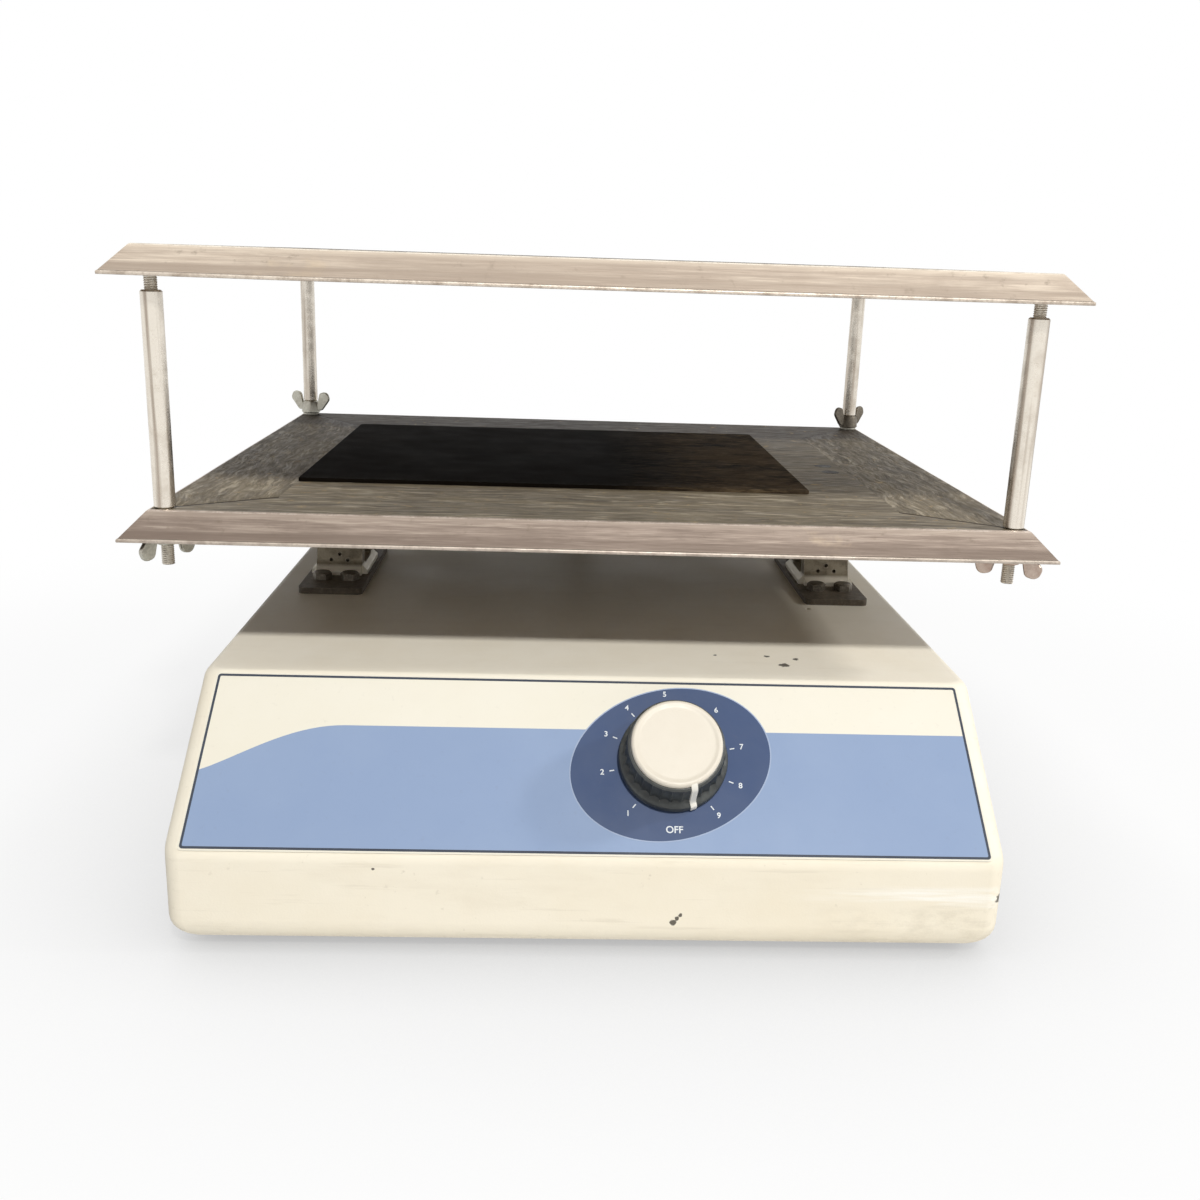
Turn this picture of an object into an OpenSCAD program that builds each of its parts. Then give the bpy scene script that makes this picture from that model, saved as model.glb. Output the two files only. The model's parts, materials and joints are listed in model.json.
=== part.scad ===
// Two-tier rocking platform shaker, in millimetres.
// X runs to the right, Y to the back and Z up from the bench.
// The origin lies on the bench, under the middle of the whole object.

/* [Housing] */
// Width of the housing at its front panel
base_w = 306.8; // [290:0.2:316]
// Depth of the housing
base_d = 330; // [300:1:350]
// Height of the flat top above the bench
base_h = 92.5; // [90:0.5:100]
// Height at which the front starts to slope back
front_h = 40; // [36:0.5:44]
// Slope of the front panel
slope_angle = 46.3; // [42:0.1:52]
// How far each side leans in above the front's upright part
side_lean = 4.3; // [0:0.1:8]
// Wall of the moulded housing
wall = 2.5; // [2:0.1:4]
// Radius of the bottom edges
foot_edge_r = 11; // [8:0.5:14]
// Radius of the top edges
top_edge_r = 3.5; // [2:0.5:6]
// Radius of the upright corners
corner_r = 7; // [4:0.5:12]
// Gap between the housing and the bench
bench_gap = 3; // [2:0.5:6]
// Thickness of the bottom plate
plate_t = 2; // [1.5:0.1:3]
// Width of the inward lip that the bottom plate is screwed to
lip_w = 10; // [9:0.5:14]
// Diameter of a rubber foot
foot_d = 20; // [14:1:26]

/* [Front panel] */
// Label: half widths at its bottom and top edges
label_half_bottom = 147.8; // [140:0.1:149]
label_half_top = 143.4; // [135:0.1:145]
// Length of the label up the slope
label_len = 70; // [60:0.5:70.5]
// Margin below the label
label_lift = 1.3; // [1:0.1:2]
// Thickness of the label
label_t = 0.4; // [0.2:0.1:0.8]
// Knob axis: distance right of the middle
knob_x = 30.8; // [-60:0.2:60]
// Knob axis: distance up the slope from the label's bottom edge
knob_up = 37.1; // [34:0.1:40]
// Diameter of the knob's skirt
knob_d = 41; // [36:0.5:46]
// Diameter of the knob's cap
cap_d = 35; // [30:0.5:36]
// Height of the knob with its cap
knob_h = 19; // [17:0.5:22]
// Thickness of the knob's cap
cap_t = 2.4; // [1.5:0.1:3]
// Flutes round the knob
flutes = 30; // [20:1:36]
// Diameter of the control's shaft
shaft_d = 6; // [5:0.1:6.5]
// Diameter of the control's threaded bushing
bushing_d = 9; // [8:0.1:10]

/* [Rocking axis] */
// Height of the rocking axis above the housing's top
pivot_rise = 30; // [26:0.5:34]
// Distance of the rocking axis in front of the housing's back
pivot_to_back = 124; // [120:1:140]
// Distance of each pivot stand from the middle
stand_x = 120.4; // [100:0.2:124]
// Width of a pivot stand
stand_w = 22; // [18:0.5:26]
// Depth of a pivot stand at its waist
stand_d = 36; // [32:1:42]
// Radius of a pivot stand's eye
eye_r = 12; // [11:0.5:14]
// Diameter of a pivot pin
pin_d = 8; // [6:0.5:8]
// Wall of a pivot bush
bush_wall = 2; // [1.5:0.1:2.5]
// Running clearance of a shaft in its bush, on the radius
run_gap = 0.05; // [0.02:0.01:0.1]
// Thickness of a stand's foot plate
stand_plate_t = 3; // [2:0.5:4]
// Depth of a stand's foot plate
stand_plate_d = 92; // [84:1:100]
// Distance of the stand bolts in front of and behind the axis
bolt_y = 28; // [26:0.5:32]
// Thickness of a hanger's ears
ear_t = 3; // [2:0.5:4]
// Side gap between an ear and its stand's bush flanges
ear_gap = 1.5; // [0.5:0.1:2]

/* [Platforms] */
// Width of a tray over its skirts
tray_w = 356; // [340:1:366]
// Depth of a tray over its skirts
tray_d = 315; // [300:1:330]
// Height of the lower tray's ridge above the rocking axis
tray_rise = 30.2; // [28:0.1:34]
// Distance between the two trays
tier = 96.4; // [80:0.2:140]
// How far the skirt slopes outward
skirt_out = 9.4; // [6:0.1:14]
// Height of the skirt
skirt_drop = 10.9; // [9:0.1:14]
// Upright hem at the foot of the skirt
hem_h = 1.6; // [1:0.1:3]
// How far the hem stands out from the skirt
hem_step = 0.5; // [0:0.1:1]
// Thickness of the tray sheet
sheet_t = 1.5; // [1:0.1:2]
// Width of the border round the sunk middle
border = 40; // [30:1:50]
// How far the middle lies below the ridge
pan_drop = 2; // [1.5:0.1:3]
// Width of a rubber mat, which lies in the back left corner of the sunk middle
mat_w = 226; // [200:1:250]
// Depth of a rubber mat
mat_d = 179; // [150:1:200]
// Thickness of a rubber mat
mat_t = 1.6; // [1.2:0.1:3]
// Gap between a mat and the border
mat_gap = 0.4; // [0.2:0.1:1]
// Distance of the posts inside the ridge
post_inset = 5; // [4.8:0.1:8]
// Diameter of a post
post_d = 8; // [7:0.5:8.5]
// Diameter of a post's threaded ends
stud_d = 5; // [4:0.5:6]

/* [Drive] */
// Distance of the push rod behind the rocking axis
drive_arm = 90; // [84:1:94]
// Rocking angle each way, degrees
rock_angle = 7; // [4:0.5:8]
// Height of the crank axis above the bench
crank_h = 50; // [48:1:52]
// Diameter of the crank roller
roller_d = 12; // [10:0.5:13]
// Diameter of the push rod
rod_d = 8; // [6:0.5:9]
// Diameter of the gearmotor
motor_d = 37; // [30:1:40]

/* [Hidden] */
$fn = 48;
eps = 0.01;
fit_gap = 0.2;

// Places worked out from the sizes above
pivot_back = base_d - pivot_to_back;
front_y = -(pivot_back + tray_d / 2) / 2;
pivot_y = front_y + pivot_back;
back_y = front_y + base_d;
pivot_z = base_h + pivot_rise;
tray_z = pivot_z + tray_rise;
upper_z = tray_z + tier;
half_w = base_w / 2;
ridge_x = tray_w / 2 - skirt_out;
ridge_y = tray_d / 2 - skirt_out;
pan_x = ridge_x - border;
pan_y = ridge_y - border;
post_x = ridge_x - post_inset;
post_y = ridge_y - post_inset;
crank_r = drive_arm * sin(rock_angle);
rod_y = pivot_y + drive_arm;
slope_top_y = front_y + (base_h - front_h) / tan(slope_angle);
plate_z = bench_gap + plate_t;
border_fall = pan_drop / border;
sheet_slope = border_fall * post_inset;
sheet_fold = sheet_t / sin(atan(skirt_drop / skirt_out));

// Fasteners
bolt_d = 5;
bolt_af = 8;
bolt_head = 3.5;
screw_d = 3;
screw_head_d = 5.6;
screw_head = 1.9;
nut_h = 4;
thread_out = 1.5;
washer_t = 1;
washer_r = 4.7;
wing_hub_h = 7;
wing_span = 26;
wing_h = 13;
wing_t = 2.6;
// Angles at which the left and right wing nuts came to rest
front_wing_turn = [55, -25];
rear_wing_turn = [-20, 35];

painted = [0.89, 0.86, 0.79];
zinc = [0.72, 0.72, 0.7];
steel = [0.6, 0.58, 0.54];
dark = [0.12, 0.12, 0.12];

// ---- Shared shapes ----

function unit(v) = v / norm(v);
function turn(a) = a > 180 ? a - 360 : a < -180 ? a + 360 : a;

// Points of the fillet of radius r at corner c, between neighbours p and q
function fillet(p, c, q, r, n) =
    r <= 0 ? [c] :
    let (u = unit(p - c), v = unit(q - c), half = acos(u * v) / 2,
         m = c + unit(u + v) * r / sin(half), s = c + u * r / tan(half), e = c + v * r / tan(half),
         a = atan2(s[1] - m[1], s[0] - m[0]), d = turn(atan2(e[1] - m[1], e[0] - m[0]) - a))
    [for (i = [0:n]) m + r * [cos(a + d * i / n), sin(a + d * i / n)]];

// A polygon whose corners are given as [x, y, radius]
function rounded(c, n = 5) = [for (i = [0:len(c) - 1])
    let (k = len(c), p = c[(i + k - 1) % k], q = c[(i + 1) % k])
    each fillet([p[0], p[1]], [c[i][0], c[i][1]], [q[0], q[1]], c[i][2], n)];

// A profile in Y and Z, pushed out along X about x = 0
module side_prism(points, width) rotate([90, 0, 90]) translate([0, 0, -width / 2])
    linear_extrude(width) polygon(points);

// A profile in X and Z, pushed out along Y from y = start
module front_prism(points, start, depth) translate([0, start + depth, 0]) rotate([90, 0, 0])
    linear_extrude(depth) polygon(points);

// Corners of a rectangle about the origin from its half sizes, each with radius r
function box_corners(x, y, r) = [for (k = [[-1, -1], [1, -1], [1, 1], [-1, 1]]) [k[0] * x, k[1] * y, r]];

module rounded_block(size, r) linear_extrude(size[2])
    polygon(rounded(box_corners(size[0] / 2, size[1] / 2, r)));

// A rod or hole along X
module x_rod(r, length) rotate([0, 90, 0]) cylinder(r = r, h = length, center = true);

module ring(outer, inner, h) difference() {
    cylinder(r = outer, h = h);
    translate([0, 0, -eps]) cylinder(r = inner, h = h + 2 * eps);
}

module hex(af, h) cylinder(d = af / cos(30), h = h, $fn = 6);

module hex_nut(af, bore, h) difference() {
    hex(af, h);
    translate([0, 0, -eps]) cylinder(d = bore, h = h + 2 * eps);
}

// A pan-head screw: head on z = 0 and above, shank below it
module screw(shank, head_d = screw_head_d, d = screw_d) {
    translate([0, 0, -shank]) cylinder(d = d, h = shank);
    difference() {
        rotate_extrude() polygon([[0, 0], [head_d / 2, 0], [head_d / 2, screw_head * 0.45],
                                  [head_d / 2 - 0.7, screw_head], [0, screw_head]]);
        for (a = [0, 90]) rotate(a) translate([-head_d * 0.3, -0.35, screw_head * 0.5])
            cube([head_d * 0.6, 0.7, screw_head]);
    }
}

module hex_bolt(shank) {
    translate([0, 0, -shank]) cylinder(d = bolt_d, h = shank + eps);
    intersection() {
        hex(bolt_af, bolt_head);
        rotate_extrude() polygon([[0, 0], [bolt_af * 0.6, 0], [bolt_af * 0.6, bolt_head * 0.75],
                                  [bolt_af * 0.45, bolt_head], [0, bolt_head]]);
    }
}

// A wing nut that stands on z = 0, with its wings along X
module wing_nut() {
    wing = rounded([[wing_span * 0.14, 0.8, 0], [wing_span * 0.3, 1.6, 2], [wing_span / 2, wing_h * 0.62, 2.5],
                    [wing_span * 0.44, wing_h, 3], [wing_span * 0.24, wing_h * 0.9, 2.5],
                    [wing_span * 0.19, wing_hub_h * 0.9, 0]]);
    foot_r = wing_span * 0.21;
    neck_r = wing_span * 0.18;
    difference() {
        union() {
            rotate_extrude() polygon([[0, 0], [foot_r, 0], [neck_r, wing_hub_h], [0, wing_hub_h]]);
            for (s = [0, 180]) rotate(s) rotate([90, 0, 0]) translate([0, 0, -wing_t / 2])
                linear_extrude(wing_t) polygon(wing);
        }
        translate([0, 0, -eps]) cylinder(d = stud_d + fit_gap, h = wing_hub_h + 2 * eps);
    }
}

module at_corners(x, y) for (sx = [-1, 1]) for (sy = [-1, 1]) translate([sx * x, sy * y, 0]) children();
module both_sides(x) for (s = [-1, 1]) translate([s * x, 0, 0]) children();

// ---- Housing ----

// Outer form of the housing, drawn in by inset on every side
module housing_form(inset = 0) {
    f = front_y + inset;
    b = back_y - inset;
    bottom = bench_gap + inset;
    top = base_h - inset;
    crease = front_h + inset * ((1 - sin(slope_angle)) * tan(slope_angle) - cos(slope_angle));
    brow_y = f + (top - crease) / tan(slope_angle);
    low_r = max(foot_edge_r - inset, 1);
    high_r = max(top_edge_r - inset, 0.6);
    w = half_w - inset;
    plan_r = max(corner_r - inset, 1);
    intersection() {
        side_prism(rounded([[f, bottom, low_r], [f, crease, 8], [brow_y, top, high_r],
                            [b, top, high_r + 3], [b, bottom, low_r]]), base_w + 2);
        front_prism(rounded([[-w + 1, bottom, low_r], [w - 1, bottom, low_r], [w, crease, 12],
                             [w - side_lean, top, high_r], [-w + side_lean, top, high_r], [-w, crease, 12]]),
                    front_y - 1, base_d + 2);
        translate([0, (f + b) / 2, 0]) linear_extrude(base_h + 1)
            polygon(rounded([[-w, (f - b) / 2, plan_r * 0.5], [w, (f - b) / 2, plan_r * 0.5],
                             [w, (b - f) / 2, plan_r], [-w, (b - f) / 2, plan_r]]));
    }
}

// Outline of the bottom opening, drawn in by inset from the housing's outside
module bottom_outline(inset, z, h) translate([0, front_y + base_d / 2, z])
    rounded_block([base_w - 2 * inset, base_d - 2 * inset, h], 6);

// Puts its children on the sloping front, up from the label's bottom edge, facing out
module on_panel(x, up) translate([x, front_y, front_h]) rotate([slope_angle, 0, 0])
    translate([0, label_lift + up, 0]) children();

module at_stand_bolts() for (s = [-1, 1]) for (k = [-1, 1])
    translate([s * stand_x, pivot_y + k * bolt_y, base_h + stand_plate_t])
        both_sides(stand_w * 0.3) children();

recess_inset = foot_edge_r + 1;
lip_mid = recess_inset + lip_w / 2;
module at_plate_screws() for (x = [-1, 0, 1]) for (y = [-1, 1])
    translate([x * (half_w - lip_mid), front_y + base_d / 2 + y * (base_d / 2 - lip_mid), 0]) children();

inlet_x = -95;
inlet_z = 38;
inlet_deep = 22;
inlet_flange = 50;
inlet_w = 27.5;
inlet_h = 20;
inlet_pitch = 40;
fuse_x = -50;
vent_x = 75;
vent_pitch = 8;
vent_slot = 3;
vent_len = 30;
spare_hole = [105, pivot_y - 53];
module at_inlet_screws() for (s = [-1, 1]) translate([inlet_x + s * inlet_pitch / 2, back_y, inlet_z])
    rotate([-90, 0, 0]) children();

module base_housing() color(painted) difference() {
    housing_form();
    difference() {
        housing_form(wall);
        // The lip above the bottom plate
        difference() {
            translate([-half_w, front_y, 0]) cube([base_w, base_d, plate_z + wall]);
            bottom_outline(recess_inset + lip_w, 0, base_h);
        }
    }
    bottom_outline(recess_inset, -eps, plate_z + eps);
    bottom_outline(recess_inset + lip_w, 0, base_h / 3);
    at_plate_screws() cylinder(d = screw_d, h = base_h / 3);
    on_panel(knob_x, knob_up) cylinder(d = bushing_d + fit_gap, h = 4 * wall, center = true);
    at_stand_bolts() cylinder(d = bolt_d + fit_gap, h = 6 * wall, center = true);
    translate([0, rod_y, base_h]) cylinder(d = guide_d + fit_gap, h = 4 * wall, center = true);
    translate([spare_hole[0], spare_hole[1], base_h]) cylinder(d = screw_d, h = 4 * wall, center = true);
    // Back: inlet, fuse and vents
    translate([inlet_x, back_y, inlet_z])
        cube([inlet_w + fit_gap, 4 * wall, inlet_h + fit_gap], center = true);
    at_inlet_screws() cylinder(d = screw_d + fit_gap, h = 4 * wall, center = true);
    translate([fuse_x, back_y, inlet_z]) rotate([90, 0, 0])
        cylinder(d = fuse_d + fit_gap, h = 4 * wall, center = true);
    for (i = [0:6]) translate([vent_x + i * vent_pitch, back_y, inlet_z + 4])
        cube([vent_slot, 4 * wall, vent_len], center = true);
}

module base_plate() color(zinc) difference() {
    bottom_outline(recess_inset + fit_gap, bench_gap, plate_t);
    at_plate_screws() cylinder(d = screw_d + fit_gap, h = base_h / 3);
    translate([20, front_y + base_d / 2, 0]) for (i = [0:7]) translate([i * 10, 0, 0])
        rounded_slot(4, 40, bench_gap, plate_t);
}

module rounded_slot(w, length, z, h) translate([0, 0, z - eps])
    rounded_block([w, length, h + 2 * eps], w * 0.45);

module plate_screws() color(zinc) at_plate_screws() translate([0, 0, bench_gap]) mirror([0, 0, 1])
    screw(plate_t + wall);

foot_inset = 36;
module rubber_feet() color(dark) translate([0, front_y + base_d / 2, 0])
    at_corners(half_w - foot_inset, base_d / 2 - foot_inset)
        rotate_extrude() polygon([[0, 0.8], [foot_d / 4, 0.8], [foot_d / 4, 0], [foot_d / 2 - 1, 0],
                                  [foot_d / 2, 0.8], [foot_d / 2 - 0.6, bench_gap], [0, bench_gap]]);

module front_label() color([0.62, 0.7, 0.82]) on_panel(0, 0) translate([0, 0, eps]) difference() {
    linear_extrude(label_t) polygon(rounded([
        [-label_half_bottom, 0, 1.5], [label_half_bottom, 0, 1.5],
        [label_half_top, label_len, 1.5], [-label_half_top, label_len, 1.5]], 3));
    translate([knob_x, knob_up, -eps]) cylinder(d = pot_nut_d + 1, h = label_t + 2 * eps);
}

// ---- Rocking bearings, fixed to the housing ----

stand_plate_w = stand_w + 8;
bush_r = pin_d / 2 + run_gap + bush_wall;
flange_t = 1;

module stand_plate(side) color(dark) translate([side * stand_x, pivot_y, base_h]) difference() {
    rounded_block([stand_plate_w, stand_plate_d, stand_plate_t], 3);
    for (k = [-1, 1]) translate([0, k * bolt_y, 0]) both_sides(stand_w * 0.3)
        cylinder(d = bolt_d + fit_gap, h = 4 * stand_plate_t, center = true);
}

// A cast stand: flared foot, tapered waist and a round eye for the bush
module pivot_stand(side) color(zinc) translate([side * stand_x, pivot_y, base_h + stand_plate_t]) {
    rise = pivot_rise - stand_plate_t;
    waist = stand_d / 2;
    toe = stand_w / 2 + 2.5;
    face = rounded([[-waist - 3.5, 0, 0], [waist + 3.5, 0, 0], [waist + 3.5, 2, 1], [waist, 6, 5],
                    [eye_r - 0.5, rise, 0], [-eye_r + 0.5, rise, 0], [-waist, 6, 5], [-waist - 3.5, 2, 1]]);
    difference() {
        union() {
            side_prism(face, stand_w);
            translate([0, 0, rise]) x_rod(eye_r, stand_w);
            front_prism(rounded([[-toe, 0, 0], [toe, 0, 0], [toe, 2, 0.8], [stand_w / 2 - 0.5, 5, 0],
                                 [-stand_w / 2 + 0.5, 5, 0], [-toe, 2, 0.8]]), -waist, 2 * waist);
        }
        translate([0, 0, rise]) x_rod(bush_r, stand_w + 6);
        // Tapped holes in the front and back faces
        for (k = [-1, 1]) for (p = [[0, 9.5], [-4, 6.8], [4, 6.8]])
            translate([p[0], k * waist, p[1]]) rotate([90, 0, 0]) cylinder(d = 1.8, h = 8, center = true);
        // Cored pockets that leave a web in the middle
        both_sides(stand_w / 2) side_prism(
            rounded([[-waist + 6, 4, 2], [waist - 6, 4, 2], [eye_r - 6, rise - eye_r + 1, 2],
                     [-eye_r + 6, rise - eye_r + 1, 2]]), stand_w * 0.5);
    }
}

module left_stand_plate() stand_plate(-1);
module right_stand_plate() stand_plate(1);
module left_pivot_stand() pivot_stand(-1);
module right_pivot_stand() pivot_stand(1);

module stand_bolts() color(zinc) at_stand_bolts() hex_bolt(stand_plate_t + wall + nut_h + thread_out);
module stand_nuts() color(zinc) at_stand_bolts() translate([0, 0, -stand_plate_t - wall - nut_h])
    hex_nut(bolt_af, bolt_d, nut_h);

// Two flanged bushes in each stand, meeting in the middle of its eye
module pivot_bushes() color([0.78, 0.62, 0.3]) for (s = [-1, 1]) for (k = [-1, 1])
    translate([s * stand_x, pivot_y, pivot_z]) rotate([0, k * 90, 0]) difference() {
        union() {
            translate([0, 0, fit_gap]) cylinder(r = bush_r, h = stand_w / 2 - fit_gap);
            translate([0, 0, stand_w / 2]) cylinder(r = bush_r + 1.5, h = flange_t);
        }
        translate([0, 0, -eps]) cylinder(r = pin_d / 2 + run_gap, h = stand_w);
    }

// ---- Push rod guide, in the housing's top ----

guide_d = rod_d + 2 * run_gap + 4;
guide_low = 12;
guide_high = 3;
module guide_bush() color([0.78, 0.62, 0.3]) translate([0, rod_y, base_h]) difference() {
    union() {
        translate([0, 0, -guide_low]) cylinder(d = guide_d, h = guide_low + guide_high);
        cylinder(d = guide_d + 8, h = guide_high - 1);
    }
    cylinder(r = rod_d / 2 + run_gap, h = 60, center = true);
}
module guide_nut() color(zinc) translate([0, rod_y, base_h - wall - nut_h])
    hex_nut(guide_d + 5, guide_d + fit_gap, nut_h);

// ---- Gearmotor ----

roller_half = 5;
disc_x = roller_half + 1;
disc_t = 6;
bracket_x = disc_x + disc_t + 4;
bracket_t = 3;
gear_len = 24;
motor_len = 42;
motor_shaft_d = 6;
shaft_in = 14;
boss_d = 12;
boss_t = 3;
motor_screw_r = motor_d * 0.4;
motor_screw_in = 4.5;
module at_motor_screws() for (a = [30:60:330]) rotate(a) translate([motor_screw_r, 0, 0]) children();
module on_crank(x) translate([x, rod_y, crank_h]) rotate([0, 90, 0]) children();

module gearmotor() color(steel) on_crank(bracket_x + bracket_t) difference() {
    union() {
        cylinder(d = motor_d, h = gear_len);
        translate([0, 0, gear_len]) cylinder(d = motor_d * 0.92, h = motor_len);
        translate([0, 0, gear_len + motor_len]) cylinder(d = boss_d, h = boss_t);
        translate([0, 0, -boss_t]) cylinder(d = boss_d, h = boss_t);
    }
    translate([0, 0, -boss_t - eps]) cylinder(r = motor_shaft_d / 2 + run_gap, h = boss_t + shaft_in + 1);
    at_motor_screws() translate([0, 0, -eps]) cylinder(d = screw_d, h = motor_screw_in + 0.5);
}

// An upright plate with a foot that is screwed to the bottom plate, clear of the housing's lip
bracket_w = motor_d + 8;
bracket_foot = 30;
bracket_front = rod_y - bracket_w / 2;
bracket_foot_w = min(bracket_w, back_y - recess_inset - lip_w - 1 - bracket_front);
module motor_bracket() color(zinc) {
    up = crank_h - plate_z;
    w = bracket_w;
    low_w = bracket_foot_w;
    over_lip = wall + 2;
    difference() {
        translate([bracket_x, bracket_front, plate_z]) union() {
            rotate([90, 0, 90]) linear_extrude(bracket_t)
                polygon(rounded([[0, 0, 0], [low_w, 0, 0], [low_w, over_lip, 0], [w, over_lip, 0],
                                 [w, up + w / 2, 10], [0, up + w / 2, 10]]));
            cube([bracket_foot, low_w, bracket_t]);
        }
        on_crank(bracket_x - eps) cylinder(d = boss_d + fit_gap, h = bracket_t + 2 * eps);
        on_crank(bracket_x - eps) at_motor_screws() cylinder(d = screw_d + fit_gap, h = bracket_t + 2 * eps);
        at_bracket_screws() cylinder(d = screw_d + fit_gap, h = 30, center = true);
    }
}
module at_bracket_screws() for (y = [screw_head_d, bracket_foot_w - screw_head_d])
    translate([bracket_x + bracket_foot * 0.7, bracket_front + y, plate_z + bracket_t]) children();
module motor_screws() color(zinc) on_crank(bracket_x) mirror([0, 0, 1])
    at_motor_screws() screw(bracket_t + motor_screw_in);
module bracket_screws() color(zinc) at_bracket_screws() screw(bracket_t);

module motor_shaft() color(steel) on_crank(disc_x)
    cylinder(d = motor_shaft_d, h = bracket_x + bracket_t - disc_x + shaft_in);

// ---- Crank ----

crank_pin_d = 5;
module crank_disc() color(steel) on_crank(disc_x) difference() {
    cylinder(r = crank_r + 6, h = disc_t);
    translate([0, 0, -eps]) cylinder(d = motor_shaft_d, h = disc_t + 2 * eps);
    translate([0, crank_r, -eps]) cylinder(d = crank_pin_d, h = disc_t + 2 * eps);
    translate([0, -crank_r * 0.55, -eps]) cylinder(r = crank_r * 0.25, h = disc_t + 2 * eps);
    translate([-crank_r - 7, 0, disc_t / 2]) rotate([0, 90, 0]) cylinder(d = screw_d, h = crank_r + 7);
}
module crank_set_screw() color(dark) on_crank(disc_x) translate([-motor_shaft_d / 2 - 6, 0, disc_t / 2])
    rotate([0, 90, 0]) cylinder(d = screw_d, h = 6);
module crank_pin() color(steel) translate([0, crank_r, 0]) on_crank(-roller_half - 1.6) difference() {
    cylinder(d = crank_pin_d, h = roller_half + 1.6 + disc_x + disc_t);
    translate([0, 0, 0.5]) ring(crank_pin_d, crank_pin_d / 2 - 0.5, 0.8);
}
module crank_roller() color([0.9, 0.88, 0.8]) translate([0, crank_r, 0]) on_crank(-roller_half)
    ring(roller_d / 2, crank_pin_d / 2 + run_gap, 2 * roller_half);
module roller_clip() color(dark) translate([0, crank_r, 0]) on_crank(-roller_half - 1)
    ring(crank_pin_d / 2 + 1.8, crank_pin_d / 2 - 0.4, 0.6);

// ---- Push rod: a slotted yoke on the crank roller, and a rod to the platform ----

slip = 2.5;
yoke_t = 8;
yoke_rim = 6;
slot_h = roller_d + 2 * slip;
slot_half = crank_r + roller_d / 2 + 1;
module drive_yoke() color(steel) translate([0, rod_y, crank_h]) difference() {
    side_prism(rounded(box_corners(slot_half + yoke_rim, slot_h / 2 + yoke_rim, 5)), yoke_t);
    side_prism(rounded(box_corners(slot_half, slot_h / 2, 4)), yoke_t + 2);
    translate([0, 0, slot_h / 2 + yoke_rim - rod_thread]) cylinder(d = stud_d, h = yoke_rim);
}

rod_bottom = crank_h + slot_h / 2 + yoke_rim;
eye_t = 8;
rod_eye_r = 7;
rod_thread = 4.5;
rod_pin_d = 6;
module push_rod() color(steel) {
    difference() {
        union() {
            translate([0, rod_y, rod_bottom]) cylinder(d = rod_d, h = pivot_z - rod_bottom - rod_eye_r / 2);
            translate([0, rod_y, rod_bottom - rod_thread]) cylinder(d = stud_d, h = rod_thread + eps);
            translate([0, rod_y, pivot_z]) x_rod(rod_eye_r, eye_t);
        }
        translate([0, rod_y, pivot_z]) x_rod(rod_pin_d / 2, eye_t + 2);
    }
}

// ---- Platform frame ----

channel_h = 12;
channel_w = 34;
channel_t = 2;
lug_t = 3;
lug_gap = 0.6;
lug_d = 24;
under_z = tray_z - pan_drop - sheet_t;

// An inverted channel, open below
module channel(length) difference() {
    translate([-length / 2, -channel_w / 2, -channel_h]) cube([length, channel_w, channel_h]);
    translate([-length / 2 - 1, -channel_w / 2 + channel_t, -channel_h - channel_t])
        cube([length + 2, channel_w - 2 * channel_t, channel_h]);
}

cross_len = 2 * stand_x + 60;
hanger_w = stand_w + 2 * (flange_t + ear_gap + ear_t);
module cross_channel() color(steel) translate([0, pivot_y, under_z]) difference() {
    channel(cross_len);
    at_hanger_screws() cylinder(d = bolt_d + fit_gap, h = 30, center = true);
}
spine_len = drive_arm + lug_d / 2 - channel_w / 2;
module spine_channel() color(steel) translate([0, pivot_y, under_z]) rotate(90) difference() {
    translate([channel_w / 2 + spine_len / 2, 0, 0]) channel(spine_len);
    translate([drive_arm, 0, 0]) cylinder(d = bolt_d + fit_gap, h = 30, center = true);
}

// Two slotted ears below the spine, one on each side of the rod's eye
lug_half = eye_t / 2 + lug_gap;
lug_drop = under_z - channel_t - pivot_z;
module drive_lug() color(zinc) translate([0, rod_y, pivot_z]) {
    ear = rounded([[-11, -8, 7], [11, -8, 7], [lug_d / 2, lug_drop, 0], [-lug_d / 2, lug_drop, 0]]);
    slot_y = rod_pin_d / 2 + drive_arm * (1 - cos(rock_angle)) + 0.4;
    slot_z = rod_pin_d / 2 + 0.15;
    difference() {
        union() {
            for (s = [-1, 1]) translate([s * (lug_half + lug_t / 2), 0, 0]) side_prism(ear, lug_t);
            translate([-lug_half - lug_t, -lug_d / 2, lug_drop - lug_t])
                cube([2 * (lug_half + lug_t), lug_d, lug_t]);
        }
        // The slot takes up the arc of the platform
        side_prism(rounded(box_corners(slot_y, slot_z, slot_z - 0.2)), 30);
        cylinder(d = bolt_d + fit_gap, h = 2 * lug_drop);
    }
}
module rod_pin() color(steel) translate([0, rod_y, pivot_z]) {
    x_rod(rod_pin_d / 2, 2 * (lug_half + lug_t) + 2);
    both_sides(lug_half + lug_t + 1.2) x_rod(rod_pin_d / 2 + 1.8, 1.2);
}

// Hanger: a bent strap with two ears that take the pivot pin
module at_hanger_screws() both_sides(stand_x) for (k = [-1, 1]) translate([0, k * 9, 0]) children();
hanger_top = under_z - channel_t;
hanger_d = 28;
ear_r = 9;
module hanger(side) color(zinc) translate([side * stand_x, pivot_y, 0]) difference() {
    union() {
        both_sides((hanger_w - ear_t) / 2) side_prism(
            rounded([[-ear_r, pivot_z - ear_r, ear_r - 0.5], [ear_r, pivot_z - ear_r, ear_r - 0.5],
                     [hanger_d / 2, hanger_top, 0], [-hanger_d / 2, hanger_top, 0]]), ear_t);
        translate([-hanger_w / 2, -hanger_d / 2, hanger_top - ear_t]) cube([hanger_w, hanger_d, ear_t]);
    }
    translate([0, 0, pivot_z]) x_rod(pin_d / 2, hanger_w + 2);
    for (k = [-1, 1]) translate([0, k * 9, hanger_top]) cylinder(d = bolt_d + fit_gap, h = 30, center = true);
}
module left_hanger() hanger(-1);
module right_hanger() hanger(1);

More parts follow.
